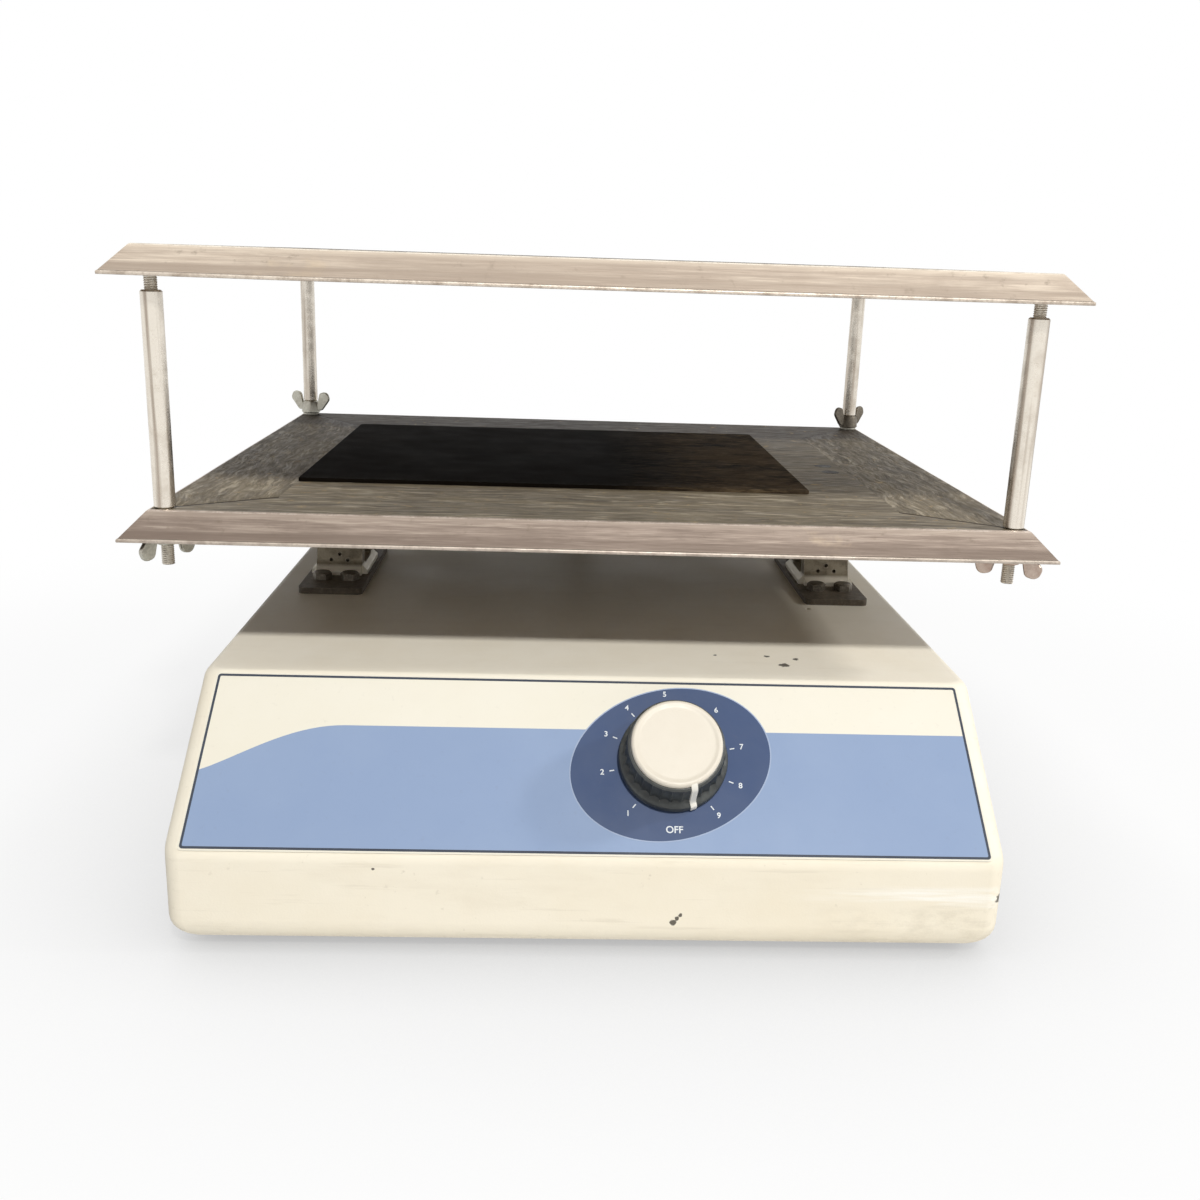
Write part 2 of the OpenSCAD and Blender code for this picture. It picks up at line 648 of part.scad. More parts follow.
// Flat-headed screws through tray, channel and hanger
module hanger_screws() color(zinc) translate([0, pivot_y, tray_z - pan_drop]) {
    at_hanger_screws() flat_screw(ear_t);
    translate([0, drive_arm, 0]) flat_screw(lug_t);
}
flat_head_r = 4.4;
module flat_screw(grip) {
    end = -sheet_t - channel_t - grip - nut_h - thread_out;
    rotate_extrude() polygon([[0, 0], [flat_head_r, 0], [bolt_d / 2, -sheet_t], [bolt_d / 2, end], [0, end]]);
}
module hanger_nuts() color(zinc) translate([0, pivot_y, hanger_top - nut_h]) {
    at_hanger_screws() translate([0, 0, -ear_t]) rotate(30) hex_nut(bolt_af, bolt_d, nut_h);
    translate([0, drive_arm, -lug_t]) rotate(30) hex_nut(bolt_af, bolt_d, nut_h);
}

module pivot_pins() color(steel) translate([0, pivot_y, pivot_z]) both_sides(stand_x) difference() {
    union() {
        x_rod(pin_d / 2, hanger_w + 5);
        translate([hanger_w / 2 + 0.75, 0, 0]) x_rod(pin_d / 2 + 2, 1.5);
    }
    translate([clip_x - 0.5, 0, 0]) rotate([0, 90, 0]) ring(pin_d, pin_d / 2 - 0.6, 1);
}
clip_x = -hanger_w / 2 - 0.9;
module pin_clips() color(dark) translate([0, pivot_y, pivot_z]) both_sides(stand_x)
    translate([clip_x - 0.4, 0, 0]) rotate([0, 90, 0]) ring(pin_d / 2 + 2.4, pin_d / 2 - 0.5, 0.8);

// ---- Trays ----

// A block with flat sloping sides: half sizes low at z = 0 and high at z = h
module frustum(low, high, h) intersection() {
    reach = max(low[1], high[1]) + 1;
    side_prism([[-low[1], 0], [low[1], 0], [high[1], h], [-high[1], h]], 2 * max(low[0], high[0]) + 1);
    front_prism([[-low[0], 0], [low[0], 0], [high[0], h], [-high[0], h]], -reach, 2 * reach);
}

// The folded sheet: sloping skirt with an upright hem, and a border that falls to the sunk middle
module tray_sheet(post_holes) difference() {
    hw = tray_w / 2;
    hd = tray_d / 2;
    fold = sheet_fold;
    inner_ridge = [ridge_x - fold / 2, ridge_y - fold / 2];
    union() {
        difference() {
            union() {
                translate([0, 0, -skirt_drop + hem_h])
                    frustum([hw - hem_step, hd - hem_step], [ridge_x, ridge_y], skirt_drop - hem_h);
                translate([-hw, -hd, -skirt_drop]) cube([tray_w, tray_d, hem_h]);
            }
            translate([0, 0, -skirt_drop + hem_h])
                frustum([hw - fold - hem_step, hd - fold - hem_step], inner_ridge,
                        skirt_drop - hem_h - sheet_t);
            translate([-hw + fold, -hd + fold, -skirt_drop - 1])
                cube([tray_w - 2 * fold, tray_d - 2 * fold, hem_h + 1 + eps]);
        }
        translate([0, 0, -pan_drop - sheet_t]) frustum([pan_x, pan_y], inner_ridge, pan_drop + eps);
    }
    translate([0, 0, -pan_drop]) frustum([pan_x, pan_y], [ridge_x, ridge_y], pan_drop);
    if (post_holes) {
        at_corners(post_x, post_y) cylinder(d = stud_d + fit_gap, h = 20, center = true);
        at_hanger_screws() countersink();
        translate([0, drive_arm, 0]) countersink();
    }
}
module countersink() translate([0, 0, -pan_drop]) rotate_extrude()
    polygon([[0, eps], [flat_head_r, eps], [flat_head_r, 0], [bolt_d / 2, -sheet_t],
             [bolt_d / 2, -sheet_t - eps], [0, -sheet_t - eps]]);

module lower_tray() color(steel) translate([0, pivot_y, tray_z]) tray_sheet(true);
module upper_tray() color(steel) translate([0, pivot_y, upper_z]) tray_sheet(false);
module mat() {
    room = [2 * (pan_x - mat_gap), 2 * (pan_y - mat_gap)];
    size = [min(mat_w, room[0]), min(mat_d, room[1]), mat_t];
    translate([(size[0] - room[0]) / 2, (room[1] - size[1]) / 2, 0]) rounded_block(size, 2);
}
module lower_mat() color(dark) translate([0, pivot_y, tray_z - pan_drop]) mat();
module upper_mat() color(dark) translate([0, pivot_y, upper_z - pan_drop]) mat();

// ---- Posts and their nuts ----

shoulder_z = tray_z - sheet_slope + border_fall * washer_r;
washer_top = shoulder_z + washer_t;
neck_h = 14;
post_top = upper_z - sheet_t - sheet_slope - border_fall * post_d / 2;
under_sheet = tray_z - sheet_slope - sheet_t - border_fall * washer_r;
module at_posts(k, turns = [0, 0]) for (s = [0, 1])
    translate([(2 * s - 1) * post_x, pivot_y + k * post_y, 0]) rotate(turns[s]) children();

// A round post between a lower stud and an upper neck
module post(low, shoulder) {
    translate([0, 0, low]) cylinder(d = stud_d, h = shoulder - low + eps);
    translate([0, 0, shoulder]) cylinder(d = post_d, h = post_top - neck_h - shoulder);
    translate([0, 0, post_top - neck_h - eps]) cylinder(d = stud_d, h = neck_h - fit_gap);
}
front_stud = 20;
module front_posts() color(zinc) at_posts(-1) post(under_sheet - front_stud, shoulder_z);
module rear_posts() color(zinc) at_posts(1)
    post(under_sheet - washer_t - nut_h - thread_out, washer_top + wing_hub_h);

module front_wing_nuts() color(zinc) at_posts(-1, front_wing_turn)
    translate([0, 0, under_sheet - washer_t - nut_h]) mirror([0, 0, 1]) wing_nut();
module rear_wing_nuts() color(zinc) at_posts(1, rear_wing_turn) translate([0, 0, washer_top]) wing_nut();
module lower_lock_nuts() color(zinc) for (k = [-1, 1]) at_posts(k)
    translate([0, 0, under_sheet - washer_t - nut_h]) hex_nut(8, stud_d, nut_h);
module upper_lock_nuts() color(zinc) for (k = [-1, 1]) at_posts(k)
    translate([0, 0, post_top - fit_gap - nut_h]) hex_nut(8, stud_d, nut_h);
module post_washer(r) ring(r, stud_d / 2 + fit_gap, washer_t);
module post_washers() color(zinc) {
    for (k = [-1, 1]) at_posts(k) translate([0, 0, under_sheet - washer_t])
        post_washer(min(washer_r, post_inset - sheet_fold / 2));
    at_posts(1) translate([0, 0, shoulder_z]) post_washer(washer_r);
}

// ---- Speed control ----

pot_d = 24;
pot_t = 11;
pot_nut_d = 14;
pot_nut_t = 2.2;
bushing_len = wall + pot_nut_t + 1.6;
shaft_in_pot = 5;
module potentiometer() color([0.3, 0.3, 0.28]) on_panel(knob_x, knob_up) difference() {
    translate([0, 0, -wall]) union() {
        translate([0, 0, -pot_t]) cylinder(d = pot_d, h = pot_t);
        cylinder(d = bushing_d, h = bushing_len);
    }
    translate([0, 0, -wall - shaft_in_pot - 1]) cylinder(r = shaft_d / 2 + run_gap, h = knob_h);
}
module pot_nut() color(zinc) on_panel(knob_x, knob_up) hex_nut(pot_nut_d * cos(30), bushing_d, pot_nut_t);
module control_shaft() color(zinc) on_panel(knob_x, knob_up) translate([0, 0, -wall - shaft_in_pot])
    cylinder(d = shaft_d, h = wall + shaft_in_pot + knob_h - cap_t - knob_roof);

knob_gap = 0.8;
knob_roof = 4;
skirt_h = 4;
module knob() color(dark) on_panel(knob_x, knob_up) translate([0, 0, label_t + knob_gap]) {
    top = knob_h - cap_t - label_t - knob_gap;
    difference() {
        rotate_extrude() polygon([[0, 0], [knob_d / 2, 0], [knob_d / 2, skirt_h - 1],
                                  [knob_d / 2 - 1, skirt_h], [cap_d / 2 + 1.4, top - 0.8],
                                  [cap_d / 2 + 0.4, top], [0, top]]);
        // Hollow underside round the nut and bushing
        translate([0, 0, -eps]) cylinder(d = pot_nut_d + 3, h = 5);
        translate([0, 0, -eps]) cylinder(d = shaft_d, h = top - knob_roof + eps);
        for (i = [0:flutes - 1]) rotate(i * 360 / flutes)
            translate([knob_d / 2 + 0.6, 0, skirt_h]) rotate([0, -9, 0]) cylinder(d = 3, h = knob_h, $fn = 13);
    }
}
module knob_cap() color([0.94, 0.91, 0.85]) on_panel(knob_x, knob_up) translate([0, 0, knob_h - cap_t])
    rotate_extrude() polygon(concat([[0, 0], [cap_d / 2, 0]],
        [for (a = [0:22.5:90]) [cap_d / 2 - 1 + cos(a), cap_t - 1 + sin(a)]], [[0, cap_t]]));

// ---- Control board and mains parts ----

board_z = 14;
board_w = 90;
board_d = 70;
board_t = 1.6;
board_at = [-70, front_y + 95];
board_hole_in = 5;
spacer_af = 6;
module at_board() translate([board_at[0], board_at[1], 0])
    at_corners(board_w / 2 - board_hole_in, board_d / 2 - board_hole_in) children();

// Places on the board are shares of its size
module on_board(x, y) translate([x * board_w, y * board_d, board_t]) children();
module control_board() color([0.1, 0.4, 0.2]) difference() {
    translate([board_at[0], board_at[1], board_z]) {
        translate([-board_w / 2, -board_d / 2, 0]) cube([board_w, board_d, board_t]);
        on_board(-0.31, -0.21) cylinder(d = board_w * 0.18, h = board_d * 0.36);
        on_board(-0.31, 0.11) cylinder(d = board_w * 0.11, h = board_d * 0.23);
        on_board(-0.05, -0.29) cube([board_w * 0.11, board_d * 0.29, 2 * board_t]);
        on_board(0.16, -0.34) cube([2 * board_t, board_d * 0.43, board_d * 0.31]);
        for (i = [0:2]) on_board(-0.09 + i * 0.1, 0.2) cube([board_w * 0.07, board_d * 0.14, 5 * board_t]);
    }
    at_board() translate([0, 0, board_z - 1]) cylinder(d = screw_d + fit_gap, h = 3 * board_t);
}
module board_standoffs() color(zinc) at_board() translate([0, 0, plate_z])
    hex_nut(spacer_af, screw_d, board_z - plate_z);
module board_screws() color(zinc) at_board() translate([0, 0, board_z + board_t])
    screw(board_t + board_hole_in);

core_w = 40;
core_d = 44;
core_h = 36;
coil_r = 14;
coil_out = 5;
strap_t = 3;
strap_w = 52;
transformer_at = [60, front_y + 75];
module transformer() color(steel) translate([transformer_at[0], transformer_at[1], plate_z]) {
    translate([-strap_w / 2, -core_d / 2, 0]) cube([strap_w, core_d, strap_t]);
    translate([-core_w / 2, -core_d / 2, strap_t]) cube([core_w, core_d, core_h]);
    translate([0, 0, strap_t + core_h / 2]) x_rod(coil_r, core_w + 2 * coil_out);
}

flange_out = 2;
module power_inlet() color(dark) translate([inlet_x, back_y, inlet_z]) rotate([-90, 0, 0]) difference() {
    union() {
        linear_extrude(flange_out) polygon(rounded([
            for (k = [[-1, 0], [-0.56, -1], [0.56, -1], [1, 0], [0.56, 1], [-0.56, 1]])
                [k[0] * inlet_flange / 2, k[1] * (inlet_h / 2 + 1.5), 3]]));
        translate([-inlet_w / 2, -inlet_h / 2, -inlet_deep]) cube([inlet_w, inlet_h, inlet_deep]);
    }
    // Recess with three contacts
    difference() {
        translate([0, 0, -15]) linear_extrude(20)
            polygon(rounded([[-12, -6, 1], [-8.5, -8, 1], [8.5, -8, 1], [12, -6, 1], [12, 8, 1],
                             [-12, 8, 1]]));
        for (p = [[-7, 2], [0, -2], [7, 2]]) translate([p[0] - 1, p[1] - 2, -16]) cube([2, 4, 12]);
    }
    for (s = [-1, 1]) translate([s * inlet_pitch / 2, 0, -1]) cylinder(d = screw_d + fit_gap, h = 5);
}
module inlet_screws() color(zinc) at_inlet_screws() translate([0, 0, flange_out]) screw(flange_out + wall + 3);

fuse_d = 12.5;
module fuse_holder() color(dark) translate([fuse_x, back_y, inlet_z]) rotate([-90, 0, 0]) difference() {
    union() {
        translate([0, 0, -28]) cylinder(d = fuse_d, h = 28);
        cylinder(d = 17, h = 2);
        translate([0, 0, 2]) cylinder(d = 13.5, h = 5);
    }
    translate([-5, -0.7, 5.8]) cube([10, 1.4, 2]);
}

base_housing();
base_plate();
plate_screws();
rubber_feet();
front_label();
left_stand_plate();
right_stand_plate();
left_pivot_stand();
right_pivot_stand();
stand_bolts();
stand_nuts();
pivot_bushes();
guide_bush();
guide_nut();
gearmotor();
motor_bracket();
motor_screws();
bracket_screws();
power_inlet();
inlet_screws();
fuse_holder();
control_board();
board_standoffs();
board_screws();
transformer();
potentiometer();
pot_nut();
knob();
knob_cap();
control_shaft();
motor_shaft();
crank_disc();
crank_pin();
crank_set_screw();
crank_roller();
roller_clip();
drive_yoke();
push_rod();
rod_pin();
cross_channel();
spine_channel();
drive_lug();
left_hanger();
right_hanger();
hanger_screws();
hanger_nuts();
pivot_pins();
pin_clips();
lower_tray();
lower_mat();
upper_tray();
upper_mat();
front_posts();
rear_posts();
front_wing_nuts();
rear_wing_nuts();
lower_lock_nuts();
upper_lock_nuts();
post_washers();
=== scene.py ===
import json
import math
from random import Random

import bmesh
import bpy
from mathutils import Matrix, Vector


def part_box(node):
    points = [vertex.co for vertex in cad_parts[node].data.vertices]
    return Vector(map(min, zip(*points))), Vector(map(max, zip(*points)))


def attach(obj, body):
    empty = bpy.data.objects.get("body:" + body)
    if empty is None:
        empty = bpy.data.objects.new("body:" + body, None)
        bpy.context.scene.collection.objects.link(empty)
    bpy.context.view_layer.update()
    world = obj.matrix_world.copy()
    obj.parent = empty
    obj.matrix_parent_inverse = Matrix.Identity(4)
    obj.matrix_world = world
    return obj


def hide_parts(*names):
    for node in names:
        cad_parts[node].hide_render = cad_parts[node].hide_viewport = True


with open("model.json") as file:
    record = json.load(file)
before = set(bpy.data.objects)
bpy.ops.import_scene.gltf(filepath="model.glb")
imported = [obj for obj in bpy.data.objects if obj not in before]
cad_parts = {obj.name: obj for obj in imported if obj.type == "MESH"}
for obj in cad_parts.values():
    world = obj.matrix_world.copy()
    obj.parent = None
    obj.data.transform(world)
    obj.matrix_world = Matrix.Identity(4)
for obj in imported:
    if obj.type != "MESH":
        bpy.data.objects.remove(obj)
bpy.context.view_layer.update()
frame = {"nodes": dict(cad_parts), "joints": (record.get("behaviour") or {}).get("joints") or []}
nodes = frame["nodes"]
mm = 0.001


def addObject(name, data):
    thing = bpy.data.objects.new(name, data)
    bpy.context.scene.collection.objects.link(thing)
    return thing


def feed(tree, socket, value):
    # another node's output is linked, and a plain number or vector is set
    if isinstance(value, bpy.types.NodeSocket):
        tree.links.new(value, socket)
    else:
        socket.default_value = value


def addNode(tree, kind, **values):
    node = tree.nodes.new("ShaderNode" + kind)
    for label, value in values.items():
        feed(tree, node.inputs[label], value)
    return node


def addMath(tree, operation, a, b, clamp=False):
    node = addNode(tree, "Math")
    node.operation = operation
    node.use_clamp = clamp
    for socket, value in zip(node.inputs, (a, b)):
        feed(tree, socket, value)
    return node.outputs[0]


def addVectorMath(tree, operation, *values):
    node = addNode(tree, "VectorMath")
    node.operation = operation
    for socket, value in zip(node.inputs, values):
        feed(tree, socket, value)
    return node.outputs[1 if operation in ("DISTANCE", "DOT_PRODUCT", "LENGTH") else 0]


def addRange(tree, value, low, high, toLow=0.0, toHigh=1.0):
    node = addNode(tree, "MapRange")
    labels = ("Value", "From Min", "From Max", "To Min", "To Max")
    for label, number in zip(labels, (value, low, high, toLow, toHigh)):
        feed(tree, node.inputs[label], number)
    return node.outputs[0]


def addNoise(tree, vector, scale, detail, rough=0.55):
    noise = addNode(tree, "TexNoise", Vector=vector, Scale=scale, Detail=detail, Roughness=rough)
    return noise.outputs["Fac"]


def mixShaders(tree, share, first, second):
    mix = addNode(tree, "MixShader")
    for socket, value in zip(mix.inputs, (share, first.outputs[0], second.outputs[0])):
        feed(tree, socket, value)
    return mix.outputs[0]


view = {
    "place": (-0.0160, -0.5823, 0.2496),
    "yaw": 2.35,      # degrees, to the right
    "pitch": 15.63,   # degrees, down
    "roll": 1.90,
    "lens": 36.788,
    "sensor": 36.0,
    "nearest": 0.01,
}


def addCamera():
    data = bpy.data.cameras.new("camera")
    data.sensor_width = view["sensor"]
    data.lens = view["lens"]
    data.clip_start = view["nearest"]
    yaw, pitch, roll = (math.radians(view[k]) for k in ("yaw", "pitch", "roll"))
    ahead = Vector((math.sin(yaw) * math.cos(pitch), math.cos(yaw) * math.cos(pitch), -math.sin(pitch)))
    level = Vector((math.cos(yaw), -math.sin(yaw), 0))
    upright = level.cross(ahead)
    right = level * math.cos(roll) + upright * math.sin(roll)
    up = upright * math.cos(roll) - level * math.sin(roll)
    camera = addObject("camera", data)
    turn = Matrix((right, up, -ahead)).transposed().to_4x4()
    camera.matrix_world = Matrix.Translation(view["place"]) @ turn
    bpy.context.scene.camera = camera


lamps = {
    # name: where it hangs, size in metres, watts, colour
    "key": ((0.34, -1.80, 1.88), 0.20, 45.5, (1.0, 0.99, 0.965)),
    "side": ((1.90, -0.22, 1.28), 0.22, 15.0, (1.0, 0.99, 0.965)),
}
skyLevel = 0.22
lookAt = Vector((0.0, -0.02, 0.12))


def addLamps():
    for name, (place, size, watts, colour) in lamps.items():
        data = bpy.data.lights.new(name, "AREA")
        data.size = size
        data.energy = watts
        data.color = colour
        lamp = addObject(name, data)
        lamp.location = place
        lamp.rotation_euler = (lookAt - Vector(place)).to_track_quat("-Z", "Y").to_euler()


def seenWhite(tree):
    # 1 for rays from the camera, reflections and glass, which all meet the white backdrop
    path = addNode(tree, "LightPath").outputs
    most = path["Is Camera Ray"]
    for label in ("Is Glossy Ray", "Is Transmission Ray"):
        most = addMath(tree, "MAXIMUM", most, path[label])
    return most


def addSky():
    world = bpy.data.worlds.new("studio")
    world.use_nodes = True
    bpy.context.scene.world = world
    tree = world.node_tree
    tree.nodes.clear()
    dim = addNode(tree, "Background", Color=(0.96, 0.98, 1.0, 1), Strength=skyLevel)
    white = addNode(tree, "Background", Color=(1, 1, 1, 1))
    addNode(tree, "OutputWorld", Surface=mixShaders(tree, seenWhite(tree), dim, white))


floor = {
    "half": 6.0,
    "white": 0.85,
    "glow": 0.90,       # share of the backdrop's white near the object
    "fadeFrom": 0.28,
    "fadeTo": 0.60,
    "contact": 0.13,    # reach of the painted soft shadow round the feet
    "contactDark": 0.48,
}


def addFloor():
    # matte paper near the object that fades into the white backdrop
    half = floor["half"]
    mesh = bpy.data.meshes.new("floor")
    corners = [(-half, -half, 0), (half, -half, 0), (half, half, 0), (-half, half, 0)]
    mesh.from_pydata(corners, [], [(0, 1, 2, 3)])
    plane = addObject("floor", mesh)
    paper = bpy.data.materials.new("floorPaper")
    paper.use_nodes = True
    tree = paper.node_tree
    tree.nodes.clear()
    away = addVectorMath(tree, "LENGTH", addNode(tree, "TexCoord").outputs["Object"])
    fade = addRange(tree, away, floor["fadeFrom"], floor["fadeTo"], floor["glow"])
    fade.node.interpolation_type = "SMOOTHSTEP"
    # painted shadow: ambient occlusion darkens the glow that the camera sees near the object
    near = addNode(tree, "AmbientOcclusion", Distance=floor["contact"])
    near.samples = 8
    grey = addRange(tree, near.outputs["AO"], 0.0, 1.0, floor["contactDark"])
    matte = addNode(tree, "BsdfDiffuse", Color=(floor["white"],) * 3 + (1,))
    glow = addNode(tree, "Emission", Color=grey)
    share = addMath(tree, "MULTIPLY", seenWhite(tree), fade)
    addNode(tree, "OutputMaterial", Surface=mixShaders(tree, share, matte, glow))
    mesh.materials.append(paper)


bpy.context.scene.view_settings.view_transform = "Standard"
addCamera()
addLamps()
addSky()
addFloor()
print("camera, lamps and floor are in place")


def newGroup(name, outputs, **inputs):
    # every group takes the place as Vector; an input whose value has three parts is a vector too
    group = bpy.data.node_groups.new(name, "ShaderNodeTree")
    for label, value in {"Vector": (0, 0, 0), **inputs}.items():
        kind = "NodeSocketVector" if isinstance(value, tuple) else "NodeSocketFloat"
        group.interface.new_socket(name=label, in_out="INPUT", socket_type=kind).default_value = value
    for label in outputs:
        group.interface.new_socket(name=label, in_out="OUTPUT", socket_type="NodeSocketFloat")
    return group, group.nodes.new("NodeGroupInput").outputs, group.nodes.new("NodeGroupOutput").inputs


def makeGrainGroup():
    # fine streaks along one direction: Stretch is small along the grain
    group, into, out = newGroup("brushedGrain", ("Streak", "Band", "Broad"),
                                Stretch=(0.02, 1, 1), Scale=900.0)
    vector = addVectorMath(group, "MULTIPLY", into["Vector"], into["Stretch"])
    for label, share, low, high in (
            ("Streak", 1.0, 0.36, 0.64), ("Band", 0.42, 0.38, 0.62), ("Broad", 0.14, 0.32, 0.68)):
        level = addNoise(group, vector, addMath(group, "MULTIPLY", into["Scale"], share), 4, 0.6)
        feed(group, out[label], addRange(group, level, low, high))
    return group


def makeBlotchGroup():
    # soft uneven patches, for grime, fading and handling
    group, into, out = newGroup("blotches", ("Mask",), Scale=20.0, Low=0.4, High=0.7)
    coarse = addNoise(group, into["Vector"], into["Scale"], 6, 0.62)
    feed(group, out["Mask"], addRange(group, coarse, into["Low"], into["High"]))
    return group


def makeEdgeGroup():
    # how strongly the surface turns within Radius, broken up by noise
    group, into, out = newGroup("edgeWear", ("Mask",), Radius=0.0012, Scale=300.0)
    bevel = addNode(group, "Bevel", Radius=into["Radius"])
    bevel.samples = 4
    flat = addNode(group, "NewGeometry").outputs["Normal"]
    turned = addRange(group, addVectorMath(group, "DOT_PRODUCT", bevel.outputs[0], flat), 0.995, 0.90)
    broken = addRange(group, addNoise(group, into["Vector"], into["Scale"], 4), 0.38, 0.60)
    feed(group, out["Mask"], addMath(group, "MULTIPLY", turned, broken, True))
    return group


def makeDustGroup():
    # patches on faces that look up: dust on the plastics, and painted light on the cream paint's tops
    group, into, out = newGroup("dustAndTopLightPatches", ("Mask",), Scale=60.0, Cover=0.0)
    facing = addNode(group, "NewGeometry").outputs["Normal"]
    upward = addRange(group, addNode(group, "SeparateXYZ", Vector=facing).outputs["Z"], 0.55, 0.98)
    uneven = addNoise(group, into["Vector"], into["Scale"], 7, 0.7)
    patchy = addRange(group, uneven, 0.40, 0.75, into["Cover"], 1.0)
    feed(group, out["Mask"], addMath(group, "MULTIPLY", upward, patchy, True))
    return group


def makeChipGroup():
    # one ragged spot of radius Radius round Place
    group, into, out = newGroup("paintChip", ("Mask",), Place=(0, 0, 0), Radius=0.002)
    away = addVectorMath(group, "DISTANCE", into["Vector"], into["Place"])
    ragged = addRange(group, addNoise(group, into["Vector"], 700.0, 4), 0.2, 0.8, 0.35, 1.75)
    share = addMath(group, "DIVIDE", away, addMath(group, "MULTIPLY", into["Radius"], ragged))
    feed(group, out["Mask"], addRange(group, share, 1.0, 0.75))
    return group


effects = {
    "grain": makeGrainGroup(),
    "blotches": makeBlotchGroup(),
    "edges": makeEdgeGroup(),
    "dustAndTopLight": makeDustGroup(),
    "chip": makeChipGroup(),
}


def linear(levels):
    # 0 to 255 screen levels to the linear values that shaders take
    return tuple(((v / 255 + 0.055) / 1.055) ** 2.4 if v > 10 else v / 255 / 12.92 for v in levels) + (1,)


class Finish:
    # a material with a Principled shader and short ways to build on it; colours are screen levels
    def __init__(self, name, colour, roughness, metallic=0.0, specular=0.5):
        self.material = bpy.data.materials.new(name)
        self.material.use_nodes = True
        self.tree = self.material.node_tree
        self.shader = self.tree.nodes["Principled BSDF"]
        self.colour = linear(colour)
        for label, value in (("Roughness", roughness), ("Metallic", metallic),
                             ("Specular IOR Level", specular), ("Base Color", self.colour)):
            self.shader.inputs[label].default_value = value
        self.place = addNode(self.tree, "TexCoord").outputs["Object"]

    def effect(self, kind, place=None, **values):
        node = addNode(self.tree, "Group")
        node.node_tree = effects[kind]
        for label, value in {"Vector": place or self.place, **values}.items():
            feed(self.tree, node.inputs[label], value)
        return node.outputs

    def blotches(self, scale, low, high):
        return self.effect("blotches", Scale=scale, Low=low, High=high)["Mask"]

    def edges(self, radius, scale):
        return self.effect("edges", Radius=radius, Scale=scale)["Mask"]

    def tint(self, mask, colour, amount):
        # mixes a colour in where mask is high; sockets 6 and 7 and output 2 are the node's colours
        mix = addNode(self.tree, "Mix")
        mix.data_type = "RGBA"
        share = addMath(self.tree, "MULTIPLY", mask, amount, True)
        for i, value in ((0, share), (6, self.colour), (7, linear(colour))):
            feed(self.tree, mix.inputs[i], value)
        self.colour = mix.outputs[2]
        feed(self.tree, self.shader.inputs["Base Color"], self.colour)

    def both(self, a, b):
        # where two masks meet
        return addMath(self.tree, "MULTIPLY", a, b, True)

    def shine(self, mask, low, high):
        feed(self.tree, self.shader.inputs["Roughness"], addRange(self.tree, mask, 0.0, 1.0, low, high))

    def bump(self, height, depth, strength):
        node = addNode(self.tree, "Bump", Distance=depth, Strength=strength, Height=height)
        feed(self.tree, self.shader.inputs["Normal"], node.outputs[0])

    def noise(self, scale, detail, rough=0.55, low=0.3, high=0.7, stretch=None, place=None):
        vector = place or self.place
        if stretch:
            vector = addVectorMath(self.tree, "MULTIPLY", vector, stretch)
        return addRange(self.tree, addNoise(self.tree, vector, scale, detail, rough), low, high)

    def waved(self, scale, far):
        # the object's coordinates, pushed about by a slow noise, for grain that wanders
        push = addNode(self.tree, "TexNoise", Scale=scale, Vector=self.place)
        return addVectorMath(self.tree, "MULTIPLY_ADD", push.outputs["Color"], (far, far, far), self.place)

    def band(self, low, high, soft, axis="Z"):
        # 1 between two places along an axis, fading over soft
        along = addNode(self.tree, "SeparateXYZ", Vector=self.place).outputs[axis]
        rise = addRange(self.tree, along, low - soft, low)
        fall = addRange(self.tree, along, high + soft, high)
        return self.both(rise, fall)


chips = [
    # where the paint is gone, and how wide, in metres
    ((0.0312, -0.1818, 0.0150), 0.0013),
    ((0.0326, -0.1818, 0.0166), 0.0010),
    ((0.0338, -0.1818, 0.0180), 0.0008),
    ((0.0790, -0.1130, 0.0925), 0.0022),
    ((0.0850, -0.1050, 0.0925), 0.0013),
    ((0.0735, -0.1020, 0.0925), 0.0012),
    ((0.1519, -0.1790, 0.0250), 0.0018),
    ((-0.0780, -0.1818, 0.0352), 0.0006),
    ((-0.1462, -0.1750, 0.0120), 0.0009),
    ((0.1405, -0.1790, 0.0180), 0.0007),
    ((0.0520, -0.1020, 0.0925), 0.0008),
]


def paintedFinish():
    # cream powder coat: orange peel, yellowed patches, grime low down, chips to primer, and painted light
    # that makes the faces looking up lighter
    f = Finish("creamPowderCoat", (244, 236, 218), roughness=0.5, specular=0.3)
    f.tint(f.blotches(14.0, 0.42, 0.72), (237, 226, 203), 0.6)
    f.tint(f.noise(55.0, 5, 0.6, 0.52, 0.72, (0.25, 1, 1)), (224, 213, 192), 0.35)
    f.tint(f.noise(420.0, 4, 0.6, 0.60, 0.74, (0.06, 1, 1)), (214, 204, 184), 0.35)
    f.tint(f.blotches(240.0, 0.66, 0.78), (168, 156, 134), 0.35)
    f.tint(f.edges(0.0016, 160.0), (190, 178, 158), 0.35)
    # painted light: faces that look up are made lighter than the paint itself, as if lit from above
    f.tint(f.effect("dustAndTopLight", Scale=40.0, Cover=0.55)["Mask"], (252, 246, 231), 0.9)
    for mask, low, high, colour, amount in (
            (f.noise(170.0, 6, 0.7, 0.46, 0.66, (0.45, 1, 1)), 0.0, 0.020, (205, 195, 174), 0.38),
            (f.noise(210.0, 5, 0.65, 0.46, 0.62, (0.05, 1, 1)), 0.0235, 0.0285, (254, 251, 243), 0.8)):
        spread = f.both(f.band(low, high, 0.003), f.band(0.120, 0.3, 0.05, "X"))
        f.tint(f.both(mask, spread), colour, amount)
    for place, radius in chips:
        f.tint(f.effect("chip", Place=place, Radius=radius)["Mask"], (62, 56, 48), 0.9)
    f.shine(f.noise(30.0, 4), 0.46, 0.60)
    f.bump(f.noise(1500.0, 2, 0.5), 0.00004, 0.5)
    return f.material


